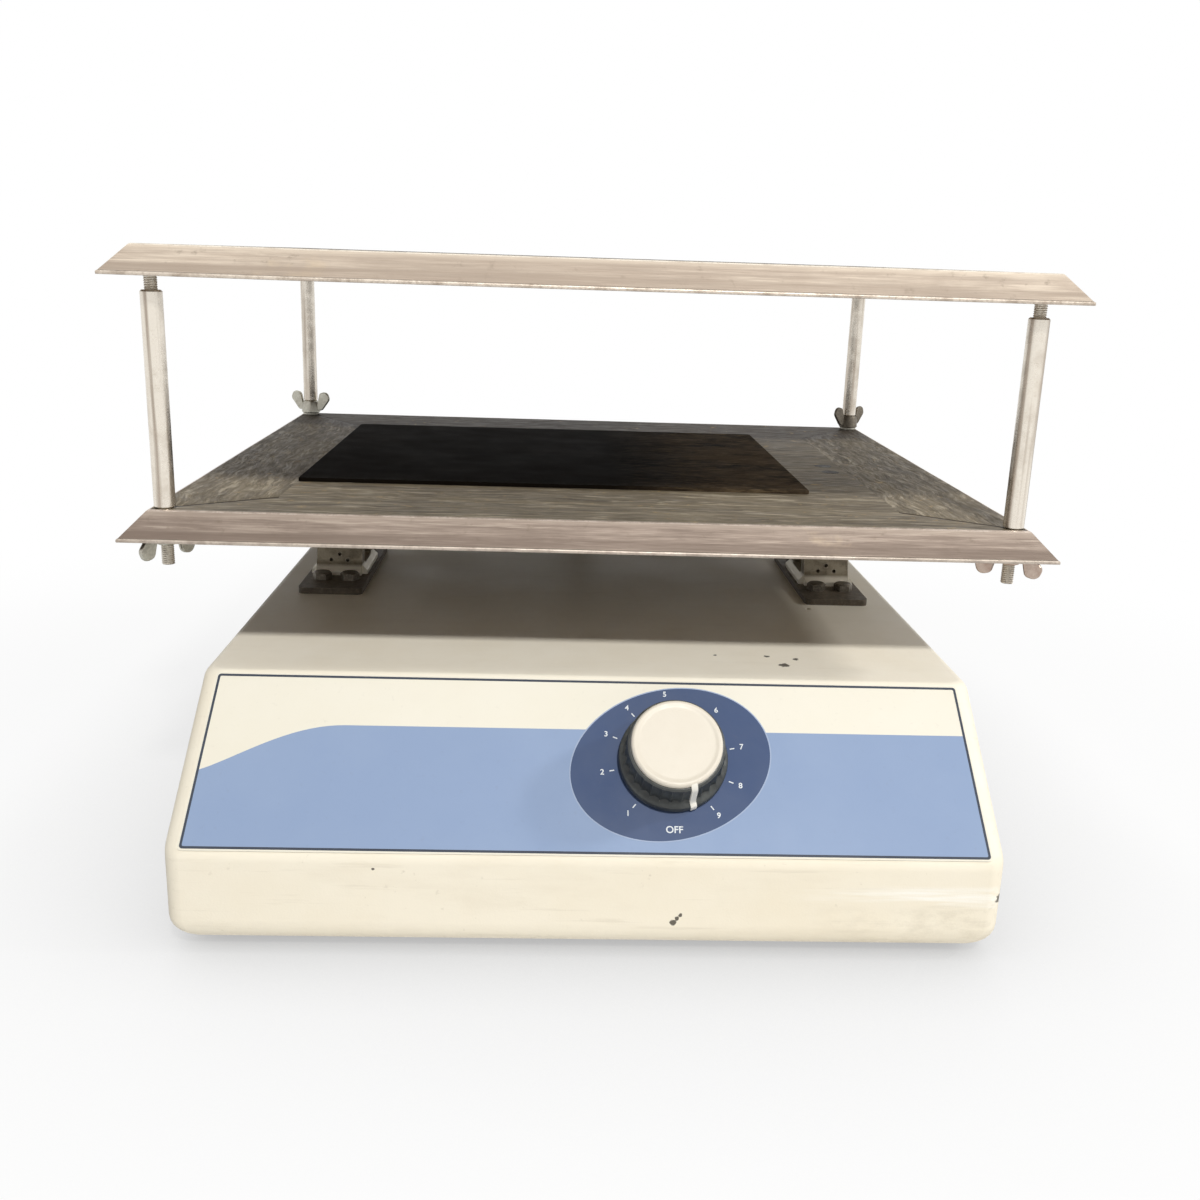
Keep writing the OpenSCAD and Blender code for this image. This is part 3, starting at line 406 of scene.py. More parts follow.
def filmFinish(name, colour, faded):
    # printed polyester film with a light satin grain
    f = Finish(name, colour, roughness=0.5, specular=0.18)
    f.tint(f.blotches(22.0, 0.40, 0.72), faded, 0.5)
    f.tint(f.noise(420.0, 4, 0.6, 0.62, 0.8), (120, 116, 110), 0.10)
    f.shine(f.noise(60.0, 4), 0.44, 0.58)
    f.bump(f.noise(2600.0, 2), 0.00001, 0.4)
    return f.material


def skirtFinish(name, colour, dull, bright, stretch, low, middle):
    # brushed sheet: streaks along the grain, stains, a painted highlight near the fold, painted crease shade
    # above the hem at height low;
    # middle: how dull it is halfway along
    f = Finish(name, colour, roughness=0.5, metallic=0.35)
    grain = f.effect("grain", Stretch=stretch, Scale=1300.0)
    f.tint(grain["Broad"], bright, 0.5)
    f.tint(grain["Band"], dull, 0.55)
    f.tint(grain["Streak"], dull, 0.5)
    f.tint(f.blotches(24.0, 0.48, 0.68), dull, 0.55)
    f.tint(f.noise(520.0, 4, 0.65, 0.56, 0.68, stretch), bright, 0.6)
    f.tint(f.blotches(210.0, 0.60, 0.72), (112, 98, 82), 0.5)
    f.tint(f.blotches(16.0, 0.62, 0.70), (232, 208, 168), 0.35)
    f.tint(f.band(-0.05, 0.02, 0.07, "X"), dull, middle)
    # painted highlight: a lighter band along the top of the skirt by the fold
    f.tint(f.band(low + 0.0100, low + 0.02, 0.0016), bright, 0.40)
    # painted crease shade: a dark broken line just above the hem
    paintedCreaseShade = f.both(f.band(low + 0.0020, low + 0.0040, 0.0010), f.noise(90.0, 5, 0.65, 0.25, 0.55, stretch))
    f.tint(paintedCreaseShade, dull, 0.8)
    f.shine(grain["Streak"], 0.40, 0.60)
    f.bump(grain["Band"], 0.00006, 0.6)
    return f.material


def foldFinish(name, colour, dull):
    # the bright line of a fold and of a hem: wear, and a painted highlight; in dark colours it makes the
    # seams and the painted crease shade above the hem
    f = Finish(name, colour, roughness=0.42, metallic=0.4)
    f.tint(f.noise(160.0, 5, 0.65, 0.45, 0.65), dull, 0.75)
    f.tint(f.noise(900.0, 4, 0.6, 0.50, 0.68), dull, 0.5)
    f.shine(f.noise(400.0, 3), 0.34, 0.52)
    f.bump(f.noise(1400.0, 3), 0.00003, 0.5)
    return f.material


def trayTopFinish(name, stretch):
    # the worn upper side: coarse wavy streaks over a dull brown grey
    f = Finish(name, (134, 124, 106), roughness=0.6, metallic=0.15)
    wavy = f.waved(30.0, 0.010)
    grain = f.effect("grain", wavy, Stretch=stretch, Scale=680.0)
    f.tint(f.blotches(9.0, 0.42, 0.66), (112, 102, 92), 0.8)
    f.tint(grain["Band"], (84, 75, 62), 0.85)
    f.tint(grain["Streak"], (68, 60, 50), 0.60)
    f.tint(grain["Broad"], (160, 146, 118), 0.45)
    f.tint(f.noise(330.0, 4, 0.65, 0.54, 0.66, stretch, wavy), (196, 184, 162), 0.65)
    f.tint(f.blotches(20.0, 0.50, 0.72), (78, 70, 58), 0.55)
    f.tint(f.band(0.132, 0.3, 0.010, "Y"), (54, 46, 40), 0.75)
    f.tint(f.blotches(170.0, 0.62, 0.70), (196, 166, 112), 0.5)
    f.shine(grain["Streak"], 0.50, 0.75)
    f.bump(grain["Band"], 0.00022, 0.8)
    return f.material


def plainMetalFinish(name, colour, worn, stain, roughness=(0.28, 0.48), metallic=0.95, scale=120.0,
                     depth=0.00002):
    f = Finish(name, colour, roughness=0.38, metallic=metallic)
    f.tint(f.blotches(scale, 0.42, 0.70), stain, 0.55)
    f.tint(f.noise(scale * 9, 4, 0.6, 0.45, 0.7), worn, 0.35)
    f.tint(f.edges(0.0005, 500.0), worn, 0.6)
    f.shine(f.noise(scale * 3, 4), *roughness)
    f.bump(f.noise(scale * 12, 3), depth, 0.5)
    return f.material


def rodFinish():
    # drawn steel rod with long dull streaks down its length, which also stand in for painted shade and
    # reflection bands on the round rod
    f = Finish("postRod", (236, 228, 215), roughness=0.24, metallic=0.8)
    # painted shade and reflection: dark streaks along the rod
    f.tint(f.noise(300.0, 3, 0.5, 0.47, 0.60, (1, 1, 0.02)), (150, 134, 118), 0.75)
    f.tint(f.blotches(70.0, 0.50, 0.72), (176, 160, 142), 0.5)
    f.tint(f.noise(1200.0, 4, 0.6, 0.55, 0.72), (206, 192, 174), 0.4)
    f.shine(f.noise(160.0, 4), 0.16, 0.36)
    f.bump(f.noise(1500.0, 3), 0.00002, 0.5)
    return f.material


def castFinish():
    # ground casting, with a painted highlight in a band where its foot flares out
    f = Finish("castStand", (158, 148, 128), roughness=0.55, metallic=0.45)
    f.tint(f.blotches(120.0, 0.44, 0.66), (106, 96, 80), 0.8)
    f.tint(f.noise(700.0, 4, 0.65, 0.56, 0.70), (78, 70, 58), 0.5)
    # painted highlight: a near-white band low on the stand
    f.tint(f.band(0.0955, 0.0992, 0.0014), (246, 240, 224), 0.9)
    f.tint(f.edges(0.0007, 400.0), (224, 216, 198), 0.7)
    f.shine(f.noise(260.0, 4), 0.42, 0.62)
    f.bump(f.noise(900.0, 3), 0.0001, 0.6)
    return f.material


def plasticFinish(name, colour, dusty, dustAndTopLight=0.2):
    f = Finish(name, colour, roughness=0.42, specular=0.45)
    f.tint(f.blotches(90.0, 0.45, 0.75), dusty, dustAndTopLight * 0.6)
    f.tint(f.effect("dustAndTopLight", Scale=260.0)["Mask"], dusty, dustAndTopLight)
    f.tint(f.edges(0.0004, 600.0), dusty, 0.4)
    f.shine(f.noise(200.0, 3), 0.34, 0.5)
    f.bump(f.noise(1800.0, 2), 0.00002, 0.5)
    return f.material


def rubberFinish(name, colour, dusty):
    f = Finish(name, colour, roughness=0.82, specular=0.06)
    f.tint(f.blotches(34.0, 0.46, 0.78), dusty, 0.3)
    f.tint(f.noise(900.0, 5, 0.7, 0.58, 0.75), dusty, 0.3 * 0.7)
    f.shine(f.noise(50.0, 4), 0.72, 0.92)
    f.bump(f.noise(1600.0, 3, 0.6), 0.00008, 0.6)
    return f.material


def matFinish():
    # rubber sheet painted near black, its own dark colour deepened as painted shade from the upper tray;
    # brown streaks towards the right are stains and painted light from the side
    # painted shade: the base colour is darker than the rubber itself
    f = Finish("matRubber", (19, 15, 11), roughness=0.85, specular=0.03)
    f.tint(f.blotches(34.0, 0.46, 0.78), (36, 30, 23), 0.4)
    f.tint(f.noise(900.0, 5, 0.7, 0.58, 0.75), (50, 43, 34), 0.25)
    # painted light: brown streaks towards the right stand for light from the side on the mat, over real
    # stains
    stainedAndLitRight = f.band(0.070, 0.3, 0.06, "X")
    for mask, colour, amount in (
            (f.noise(42.0, 6, 0.7, 0.36, 0.60, (0.6, 1, 1)), (84, 71, 56), 0.9),
            (f.noise(420.0, 4, 0.65, 0.50, 0.64, (0.25, 1, 1)), (118, 102, 80), 0.6)):
        f.tint(f.both(mask, stainedAndLitRight), colour, amount)
    f.shine(f.noise(50.0, 4), 0.78, 0.95)
    f.bump(f.noise(1600.0, 3, 0.6), 0.00008, 0.6)
    return f.material


trays = {
    # colours are (steel, where it is dull, where it is bright) or (steel, where it is dull); the fold and the
    # hem are painted lighter than the skirt as a highlight
    "lower": {
        "skirt": ((156, 140, 128), (114, 99, 88), (184, 169, 155)),
        "fold": ((208, 194, 182), (160, 144, 130)),
        "hem": ((190, 178, 165), (150, 136, 124)),
        "middleDull": 0.0,
    },
    "upper": {
        "skirt": ((206, 190, 173), (162, 146, 131), (230, 216, 197)),
        "fold": ((240, 230, 214), (206, 192, 174)),
        "hem": ((208, 196, 182), (150, 134, 118)),
        "middleDull": 0.5,
    },
}

finishes = {
    "painted": paintedFinish(),
    "film": filmFinish("labelFilm", (235, 230, 216), (230, 224, 206)),
    "blueInk": filmFinish("labelBlue", (142, 161, 193), (150, 168, 197)),
    "navyInk": filmFinish("labelNavy", (66, 83, 118), (84, 95, 120)),
    "darkInk": filmFinish("labelLine", (60, 66, 78), (80, 86, 96)),
    "paleInk": filmFinish("labelHalo", (166, 180, 204), (150, 166, 192)),
    "whiteInk": filmFinish("labelWhite", (228, 232, 234), (206, 212, 218)),
    # dark seam finish: for the mitre seams, and as painted crease shade on the step above each hem
    "traySeamAndCreaseShade": foldFinish("traySeamAndCreaseShade", (44, 38, 31), (70, 60, 50)),
    "mat": matFinish(),
    "post": rodFinish(),
    "stud": plainMetalFinish("threadedStud", (228, 220, 206), (246, 240, 228), (196, 182, 164),
                             (0.3, 0.5), 0.45),
    "zinc": plainMetalFinish("zincFastener", (186, 184, 172), (224, 220, 208), (128, 118, 104)),
    "rustyZinc": plainMetalFinish("agedZinc", (188, 170, 156), (222, 206, 190), (140, 96, 78)),
    "cast": castFinish(),
    "plate": plainMetalFinish("standPlate", (96, 87, 74), (140, 128, 110), (58, 51, 42),
                              (0.5, 0.68), 0.3, 90.0, 0.00006),
    "darkZinc": plainMetalFinish("dullZinc", (112, 104, 92), (176, 168, 152), (64, 57, 48),
                                 (0.38, 0.56), 0.6),
    "blackSteel": plainMetalFinish("blackSteel", (38, 36, 34), (110, 104, 94), (58, 50, 42),
                                   (0.45, 0.65), 0.4, 90.0, 0.00005),
    "turned": plainMetalFinish("turnedSteel", (176, 172, 164), (214, 210, 202), (132, 124, 112)),
    "sheet": plainMetalFinish("channelSheet", (150, 144, 132), (196, 190, 176), (96, 88, 76)),
    "bronze": plainMetalFinish("sinteredBronze", (170, 132, 82), (206, 170, 118), (112, 84, 52)),
    "blackPlastic": plasticFinish("knobPlastic", (52, 54, 53), (124, 128, 124), 0.5),
    "pointerPaint": plasticFinish("pointerPaint", (240, 236, 226), (210, 204, 190)),
    "capPlastic": plasticFinish("capPlastic", (223, 215, 200), (208, 196, 176)),
    "whitePlastic": plasticFinish("acetal", (226, 224, 214), (196, 190, 176)),
    "footRubber": rubberFinish("footRubber", (30, 29, 28), (80, 76, 70)),
    "board": plasticFinish("boardLaminate", (34, 92, 54), (90, 120, 90)),
    "copper": plainMetalFinish("transformerSteel", (140, 134, 124), (180, 174, 162), (110, 80, 52)),
}
for axis, way in (("X", 0), ("Y", 1)):
    skirtGrain, topGrain = (tuple(squeeze if i == way else 1 for i in range(3)) for squeeze in (0.05, 0.12))
    finishes["trayTop" + axis] = trayTopFinish("trayTop" + axis, topGrain)
    for tray, look in trays.items():
        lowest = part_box(tray + "_tray")[0][2]
        finishes[tray + "TraySkirt" + axis] = skirtFinish(tray + "Skirt" + axis, *look["skirt"], skirtGrain,
                                                          lowest, look["middleDull"])
# folds and hems: painted highlight, lighter than the skirts
for tray, look in trays.items():
    finishes[tray + "TrayFold"] = foldFinish(tray + "Fold", *look["fold"])
    finishes[tray + "TrayHem"] = foldFinish(tray + "Hem", *look["hem"])
print("the finishes are mixed")


def addPiece(name, verts, faces, look, body, instead, sharp=32.0, sides=None):
    # a closed mesh that rides on a body; sides picks a finish for each face
    mesh = bpy.data.meshes.new(name)
    mesh.from_pydata([tuple(v) for v in verts], [], faces)
    looks = look if isinstance(look, tuple) else (look,)
    for item in looks:
        mesh.materials.append(finishes[item])
    if sides:
        for face in mesh.polygons:
            face.material_index = sides(face.index)
    return settle(name, mesh, body, instead, sharp)


def settle(name, mesh, body, instead=(), sharp=32.0):
    # welds, turns the faces outward, smooths between sharp edges, and rides
    form = bmesh.new()
    form.from_mesh(mesh)
    bmesh.ops.remove_doubles(form, verts=form.verts, dist=2e-7)
    bmesh.ops.recalc_face_normals(form, faces=form.faces)
    form.to_mesh(mesh)
    form.free()
    for face in mesh.polygons:
        face.use_smooth = True
    mesh.set_sharp_from_angle(angle=math.radians(sharp))
    piece = addObject(name, mesh)
    even = piece.modifiers.new("even", "WEIGHTED_NORMAL")
    even.keep_sharp = True
    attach(piece, body)
    if instead:
        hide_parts(*instead)
    return piece


def loft(loops):
    # joins closed loops of equal length and caps both ends
    count = len(loops[0])
    verts = [v for loop in loops for v in loop]
    faces = []
    for i in range(0, (len(loops) - 1) * count, count):
        for j, k in ((j, (j + 1) % count) for j in range(count)):
            faces.append((i + j, i + k, i + count + k, i + count + j))
    faces.append(tuple(reversed(range(count))))
    faces.append(tuple(range((len(loops) - 1) * count, len(loops) * count)))
    return verts, faces


def joined(*parts):
    # several (verts, faces) as one
    verts, faces = [], []
    for v, f in parts:
        base = len(verts)
        verts += list(v)
        faces += [tuple(i + base for i in face) for face in f]
    return verts, faces


def moved(part, turn):
    return [turn @ Vector(v) for v in part[0]], part[1]


def rounded(corners, steps, closed=True):
    # an outline of (x, y, radius) corners with each corner turned into an arc
    out = []
    last = len(corners) - 1
    for i, (x, y, radius) in enumerate(corners):
        here = Vector((x, y))
        if radius <= 0 or (not closed and i in (0, last)):
            out.append(here)
            continue
        toPrevious = (Vector(corners[i - 1][:2]) - here).normalized()
        toNext = (Vector(corners[(i + 1) % len(corners)][:2]) - here).normalized()
        half = math.acos(max(-1.0, min(1.0, toPrevious.dot(toNext)))) / 2
        middle = here + (toPrevious + toNext).normalized() * (radius / math.sin(half))
        start = here + toPrevious * (radius / math.tan(half)) - middle
        end = here + toNext * (radius / math.tan(half)) - middle
        first = math.atan2(start.y, start.x)
        sweep = (math.atan2(end.y, end.x) - first + math.pi) % math.tau - math.pi
        for angle in (first + sweep * k / steps for k in range(steps + 1)):
            out.append(middle + radius * Vector((math.cos(angle), math.sin(angle))))
    return out


def roundRect(halfX, halfY, radius, steps=6):
    return rounded([(x * halfX, y * halfY, radius) for x, y in ((-1, -1), (1, -1), (1, 1), (-1, 1))], steps)


def circle(radius, steps=48):
    angles = (math.tau * k / steps for k in range(steps))
    return [Vector((radius * math.cos(a), radius * math.sin(a))) for a in angles]


def revolve(profile, steps, radial=None):
    # profile of (radius, height) from one end to the other; radial bends the radius by angle and height
    loops = []
    for radius, height in profile:
        loop = []
        for k in range(steps):
            angle = math.tau * k / steps
            r = radius if radial is None else radial(radius, height, angle)
            loop.append(Vector((r * math.cos(angle), r * math.sin(angle), height)))
        loops.append(loop)
    return loft(loops)


def flatSolid(outline, low, high):
    return loft([[Vector((x, y, z)) for x, y in outline] for z in (low, high)])


def filledShape(name, outlines, low, high):
    # a flat plate with holes, from closed outlines, as a mesh
    curve = bpy.data.curves.new(name, "CURVE")
    curve.dimensions = "2D"
    curve.fill_mode = "BOTH"
    curve.extrude = (high - low) / 2
    for outline in outlines:
        spline = curve.splines.new("POLY")
        spline.points.add(len(outline) - 1)
        for point, p in zip(spline.points, outline):
            point.co = (p[0], p[1], 0, 1)
        spline.use_cyclic_u = True
    return meshOf(name, curve, Matrix.Translation((0, 0, (low + high) / 2)))


def meshOf(name, curve, turn):
    # the mesh of a curve or a text, moved by turn
    holder = addObject(name + "Curve", curve)
    mesh = bpy.data.meshes.new_from_object(holder.evaluated_get(bpy.context.evaluated_depsgraph_get()))
    bpy.data.objects.remove(holder)
    bpy.data.curves.remove(curve)
    mesh.name = name
    mesh.transform(turn)
    return mesh


def cutOut(piece, cutters):
    # takes closed solids out of a piece
    verts, faces = joined(*cutters)
    mesh = bpy.data.meshes.new(piece.name + "Cutter")
    mesh.from_pydata([tuple(v) for v in verts], [], faces)
    cutter = addObject(piece.name + "Cutter", mesh)
    modifier = piece.modifiers.new("cut", "BOOLEAN")
    modifier.object = cutter
    modifier.solver = "EXACT"
    modifier.use_self = True
    piece.modifiers.move(len(piece.modifiers) - 1, 0)
    graph = bpy.context.evaluated_depsgraph_get()
    whole = bpy.data.meshes.new_from_object(piece.evaluated_get(graph), preserve_all_data_layers=True,
                                            depsgraph=graph)
    piece.modifiers.remove(piece.modifiers["cut"])
    old = piece.data
    piece.data = whole
    bpy.data.meshes.remove(old)
    bpy.data.objects.remove(cutter)
    bpy.data.meshes.remove(mesh)


def rowBox(name):
    return tuple(Vector(corner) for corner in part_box(name))


def middleOf(name):
    low, high = rowBox(name)
    return (low + high) / 2


joints = {j["name"]: j for j in frame["joints"]}
dialAxis = Vector(joints["knob_turn"]["axis"]).normalized()
dialPlace = Vector(joints["knob_turn"]["pos_m"])
upSlope = dialAxis.cross(Vector((1, 0, 0)))
# the front panel: X right, Y up the slope, Z out, with the dial's axis at the origin
panel = Matrix.Translation(dialPlace) @ Matrix((Vector((1, 0, 0)), upSlope, dialAxis)).transposed().to_4x4()


housing = {
    "frontRise": 40 * mm,     # where the front starts to slope back
    "lean": 4.3 * mm,
    "wall": 2.5 * mm,
    "footRound": 11 * mm,
    "creaseRound": 8 * mm,
    "sideRound": 12 * mm,
    "browRound": 3.5 * mm,
    "backRound": 6.5 * mm,
    "cornerFront": 6.5 * mm,
    "cornerBack": 7 * mm,
    "recessInset": 12 * mm,
    "recessDepth": 2 * mm,
    "recessRound": 6 * mm,
    "lip": 10 * mm,
    "least": 1 * mm,          # no corner inside is tighter
    "dialHole": 4.6 * mm,     # radius, as in the next three
    "guideHole": 6.1 * mm,
    "spareHole": 1.5 * mm,
    "fuseHole": 6.35 * mm,
    "inletHole": (27.7 * mm, 20.2 * mm, 1 * mm),   # width, height, radius
    "vent": (3 * mm, 30 * mm, 1.45 * mm),
    "ventCount": 7,
    "ventPitch": 8 * mm,
    "firstVent": (75 * mm, 42 * mm),                # x and z
}


def housingLoops(inset, lowest=None):
    # level outlines of the housing from the bottom up, drawn in by inset
    h = housing
    low, high = rowBox("base_housing")
    front, back = low.y + inset, high.y - inset
    bottom, top = low.z + inset, high.z - inset
    half = high.x - inset
    slope = math.atan2(upSlope.z, upSlope.y)
    crease = h["frontRise"] + inset * ((1 - math.sin(slope)) * math.tan(slope) - math.cos(slope))
    brow = front + (top - crease) / math.tan(slope)
    foot = max(h["footRound"] - inset, h["least"])
    edge = max(h["browRound"] - inset, h["least"] * 0.8)
    middle = (front + back) / 2
    profiles = {
        "front": rounded([(middle, bottom, 0), (front, bottom, foot), (front, crease, h["creaseRound"]),
                          (brow, top, edge), (middle, top, 0)], 8, False),
        "back": rounded([(middle, bottom, 0), (back, bottom, foot), (back, top, h["backRound"] - inset * 0.5),
                         (middle, top, 0)], 8, False),
        "side": rounded([(0, bottom, 0), (half, bottom, foot), (half, crease, h["sideRound"]),
                         (half - h["lean"], top, edge), (0, top, 0)], 8, False),
    }
    heights = sorted({round(p.y, 7) for path in profiles.values() for p in path[1:-1]})
    if lowest is not None:
        heights = [lowest] + [z for z in heights if z > lowest + 1e-5]

    def across(path, z):
        # how far out the profile is at height z
        for a, b in zip(path[1:-2], path[2:-1]):
            if min(a.y, b.y) - 1e-9 <= z <= max(a.y, b.y) + 1e-9:
                share = 0 if abs(b.y - a.y) < 1e-9 else (z - a.y) / (b.y - a.y)
                return a.x + (b.x - a.x) * share
        return path[-2].x

    cf, cb = (max(h[corner] - inset, h["least"]) for corner in ("cornerFront", "cornerBack"))
    loops = []
    for z in heights:
        f, b, w = (across(profiles[k], z) for k in ("front", "back", "side"))
        outline = rounded([(-w, f, cf), (w, f, cf), (w, b, cb), (-w, b, cb)], 8)
        loops.append([Vector((p.x, p.y, z)) for p in outline])
    return loops


def levelRect(inset, z):
    low, high = rowBox("base_housing")
    middle = (low.y + high.y) / 2
    outline = roundRect(high.x - inset, (high.y - low.y) / 2 - inset, housing["recessRound"], 8)
    return [Vector((p.x, p.y + middle, z)) for p in outline]


def addHousing():
    h = housing
    low, high = rowBox("base_housing")
    recess = h["recessInset"]
    plateTop = low.z + h["recessDepth"]
    lipTop = plateTop + h["wall"]
    outer = housingLoops(0)
    inner = housingLoops(h["wall"], lipTop)
    bottom = [levelRect(recess + h["lip"], lipTop), levelRect(recess + h["lip"], plateTop),
              levelRect(recess, plateTop), levelRect(recess, low.z)]
    verts, faces = loft(list(reversed(inner)) + bottom + outer)
    sharp = 28.0
    piece = addPiece("housingShell", verts, faces, "painted", "base", ("base_housing",), sharp)
    cutters = []
    reach = 8 * mm            # how far a cutter stands out on both sides of the wall

    def addHole(x, y, z, radius, axis):
        turn = Matrix.Translation((x, y, z)) @ Vector(axis).to_track_quat("Z", "Y").to_matrix().to_4x4()
        cutters.append(moved(flatSolid(circle(h[radius], 32), -reach, reach), turn))

    def addSlot(x, z, wide, tall, radius):
        # through the back wall
        verts, faces = flatSolid(roundRect(wide / 2, tall / 2, radius, 5), -reach * 0.75, reach * 0.75)
        stand = Matrix(((1, 0, 0, x), (0, 0, 1, high.y), (0, 1, 0, z), (0, 0, 0, 1)))
        cutters.append(moved((verts, [tuple(reversed(f)) for f in faces]), stand))

    plate, inlet, fuse = rowBox("right_stand_plate")[0], middleOf("power_inlet"), middleOf("fuse_holder")
    addHole(*dialPlace, "dialHole", dialAxis)
    addHole(0, middleOf("guide_bush").y, high.z, "guideHole", (0, 0, 1))
    addHole(plate.x, plate.y - 7 * mm, high.z, "spareHole", (0, 0, 1))
    addHole(fuse.x, high.y, fuse.z, "fuseHole", (0, 1, 0))
    addSlot(inlet.x, inlet.z, *h["inletHole"])
    x, z = h["firstVent"]
    for i in range(h["ventCount"]):
        addSlot(x + i * h["ventPitch"], z, *h["vent"])
    cutOut(piece, cutters)
    piece.data.set_sharp_from_angle(angle=math.radians(sharp))


addHousing()
print("the housing shell is in place")


traySheet = {
    "thick": 1.5 * mm,
    "skirtOut": 9.4 * mm,
    "hem": 1.6 * mm,
    "hemStep": 0.5 * mm,
    "border": 40 * mm,
    "panDrop": 2 * mm,
    "ridgeRound": 1.5 * mm,
    "hemRound": 0.7 * mm,
    "panRound": 2.0 * mm,
    "seam": 1.1 * mm,         # half width of the mitre groove
    "seamDeep": 0.6 * mm,
    "wave": 0.28 * mm,        # hand-bent sheet is never quite straight
    "screwSink": 0.05 * mm,   # the pan lies this much lower than the flat screw heads in it
    "stations": 44,
}


def trayProfile(drop, middle):
    # (inward, height from the ridge) from the pan's underside out to the hem, and back over the top
    t = traySheet
    arc = 5
    fold = t["thick"] / math.sin(math.atan2(drop, t["skirtOut"]))
    pan = t["skirtOut"] + t["border"]
    panDrop = t["panDrop"] + t["screwSink"]
    step, hemTop = t["hemStep"], -drop + t["hem"]
    under = rounded([(middle, -panDrop - t["thick"], 0), (pan, -panDrop - t["thick"], 1.5 * mm),
                     (t["skirtOut"] + fold / 2, -t["thick"], 0.8 * mm), (fold + step, hemTop, 0.2 * mm),
                     (fold, hemTop, 0.2 * mm), (fold, -drop, 0)], 3, False)[1:]
    skirt = rounded([(fold, -drop, 0), (0, -drop, 0.3 * mm), (0, hemTop, t["hemRound"]),
                     (step * 1.3, hemTop - 0.1 * mm, 0.1 * mm), (t["skirtOut"], 0, t["ridgeRound"]),
                     (pan, -panDrop, 0)], arc, False)[1:-1]
    top = rounded([(t["skirtOut"], 0, 0), (pan, -panDrop, t["panRound"]), (middle, -panDrop, 0)],
                  arc, False)[1:-1]
    # rows of faces at which the hem, the step above it, the plain skirt, the fold and the top start
    hemStart = len(under)
    stepStart = hemStart + 2 * arc + 1
    plainStart = stepStart + arc + 1
    foldStart = hemStart + len(skirt) - arc - 1
    return under, skirt + top, (hemStart, stepStart, plainStart, foldStart, foldStart + arc)


def sheetWave(seed):
    # how far bent sheet strays, 0 to 1, by the share of the way along a side
    dice = Random(seed)
    waves = [(dice.uniform(0, math.tau), dice.uniform(0.4, 1.0) / k) for k in range(1, 7)]
    total = sum(a for _, a in waves)

    def stray(share, side):
        value = sum(a * math.sin(math.tau * share * (k + 1) + p + side * 1.7)
                    for k, (p, a) in enumerate(waves))
        return 0.5 + 0.5 * value / total

    return stray


def addTray(node, name, seed):
    t = traySheet
    low, high = rowBox(node)
    centre = (low + high) / 2
    halfX, halfY = (high.x - low.x) / 2, (high.y - low.y) / 2
    under, over, starts = trayProfile(high.z - low.z, min(halfX, halfY))
    hemStart, stepStart, plainStart, foldStart, topStart = starts
    stray = sheetWave(seed)
    pan = t["skirtOut"] + t["border"]
    count = t["stations"]

    def ring(inward, height, upper):
        hx, hy = halfX - inward, halfY - inward
        corners = [(-hx, -hy), (hx, -hy), (hx, hy), (-hx, hy)]
        onSkirt = max(0.0, 1 - inward / (t["skirtOut"] * 1.6))
        inBorder = upper and t["skirtOut"] * 1.2 < inward < pan * 1.02
        loop = []
        for side in range(4):
            a, b = Vector(corners[side]), Vector(corners[(side + 1) % 4])
            length = (b - a).length
            seam = t["seam"] / length
            shares = [0.0, seam] + [k / count for k in range(1, count)] + [1 - seam]
            inwardWay = Vector((-(b - a).y, (b - a).x)).normalized()
            for k, share in enumerate(shares):
                ends = min(1.0, share * 12, (1 - share) * 12)   # the corners stay in place
                shift = t["wave"] * stray(share, side) * onSkirt * ends
                p = a.lerp(b, share) + inwardWay * shift
                z = high.z + height - shift * 0.8
                if inBorder and k == 0:
                    z -= t["seamDeep"]
                loop.append(Vector((p.x + centre.x, p.y + centre.y, z)))
        return loop

    loops = [ring(p.x, p.y, False) for p in under] + [ring(p.x, p.y, True) for p in over]
    verts, faces = loft(loops)
    perSide = count + 2
    perRing = 4 * perSide
    rings = len(loops) - 1

    looks = (name + "SkirtX", name + "SkirtY", "trayTopX", "trayTopY",
             name + "Fold", name + "Hem", "traySeamAndCreaseShade")
    skirtLook, _, topLook, _, foldHighlightLook, hemHighlightLook, seamAndCreaseShadeLook = range(len(looks))

    def sides(index):
        row, column = divmod(index, perRing)
        alongY = column // perSide % 2
        if row >= rings:
            return topLook
        if row < hemStart or plainStart <= row < foldStart:
            return skirtLook + alongY
        if row < topStart:
            # the hem and the fold take finishes painted lighter as a highlight; the step above the hem takes
            # the dark seam finish as painted crease shade
            return hemHighlightLook if row < stepStart else seamAndCreaseShadeLook if row < plainStart else foldHighlightLook
        if row < rings - 1 and column % perSide in (0, perSide - 1):
            return seamAndCreaseShadeLook
        return topLook + alongY

    addPiece(name, verts, faces, looks, "platform", (node,), 24.0, sides)


addTray("lower_tray", "lowerTray", 11)
addTray("upper_tray", "upperTray", 23)


def addMat(node, name):
    low, high = rowBox(node)
    centre = (low + high) / 2
    hx, hy = high.x - centre.x, high.y - centre.y
    edge, corner = 0.5 * mm, 2 * mm
    loops = []
    for d, z in ((0.0, low.z), (0.0, high.z - edge), (edge * 0.3, high.z - edge * 0.3), (edge, high.z)):
        outline = roundRect(hx - d, hy - d, corner - d * 0.5)
        loops.append([Vector((p.x + centre.x, p.y + centre.y, z)) for p in outline])
    addPiece(name, *loft(loops), "mat", "platform", (node,))


addMat("lower_mat", "lowerMatSheet")
addMat("upper_mat", "upperMatSheet")
print("trays and mats are in place")


post = {
    "radius": 4 * mm,
    "chamfer": 0.6 * mm,
    "stud": 2.5 * mm,       # radius
    "neck": 14 * mm,
    "overlap": 0.3 * mm,    # of the studs in the shank
    "pitch": 0.8 * mm,
    "threadDeep": 0.35 * mm,
}


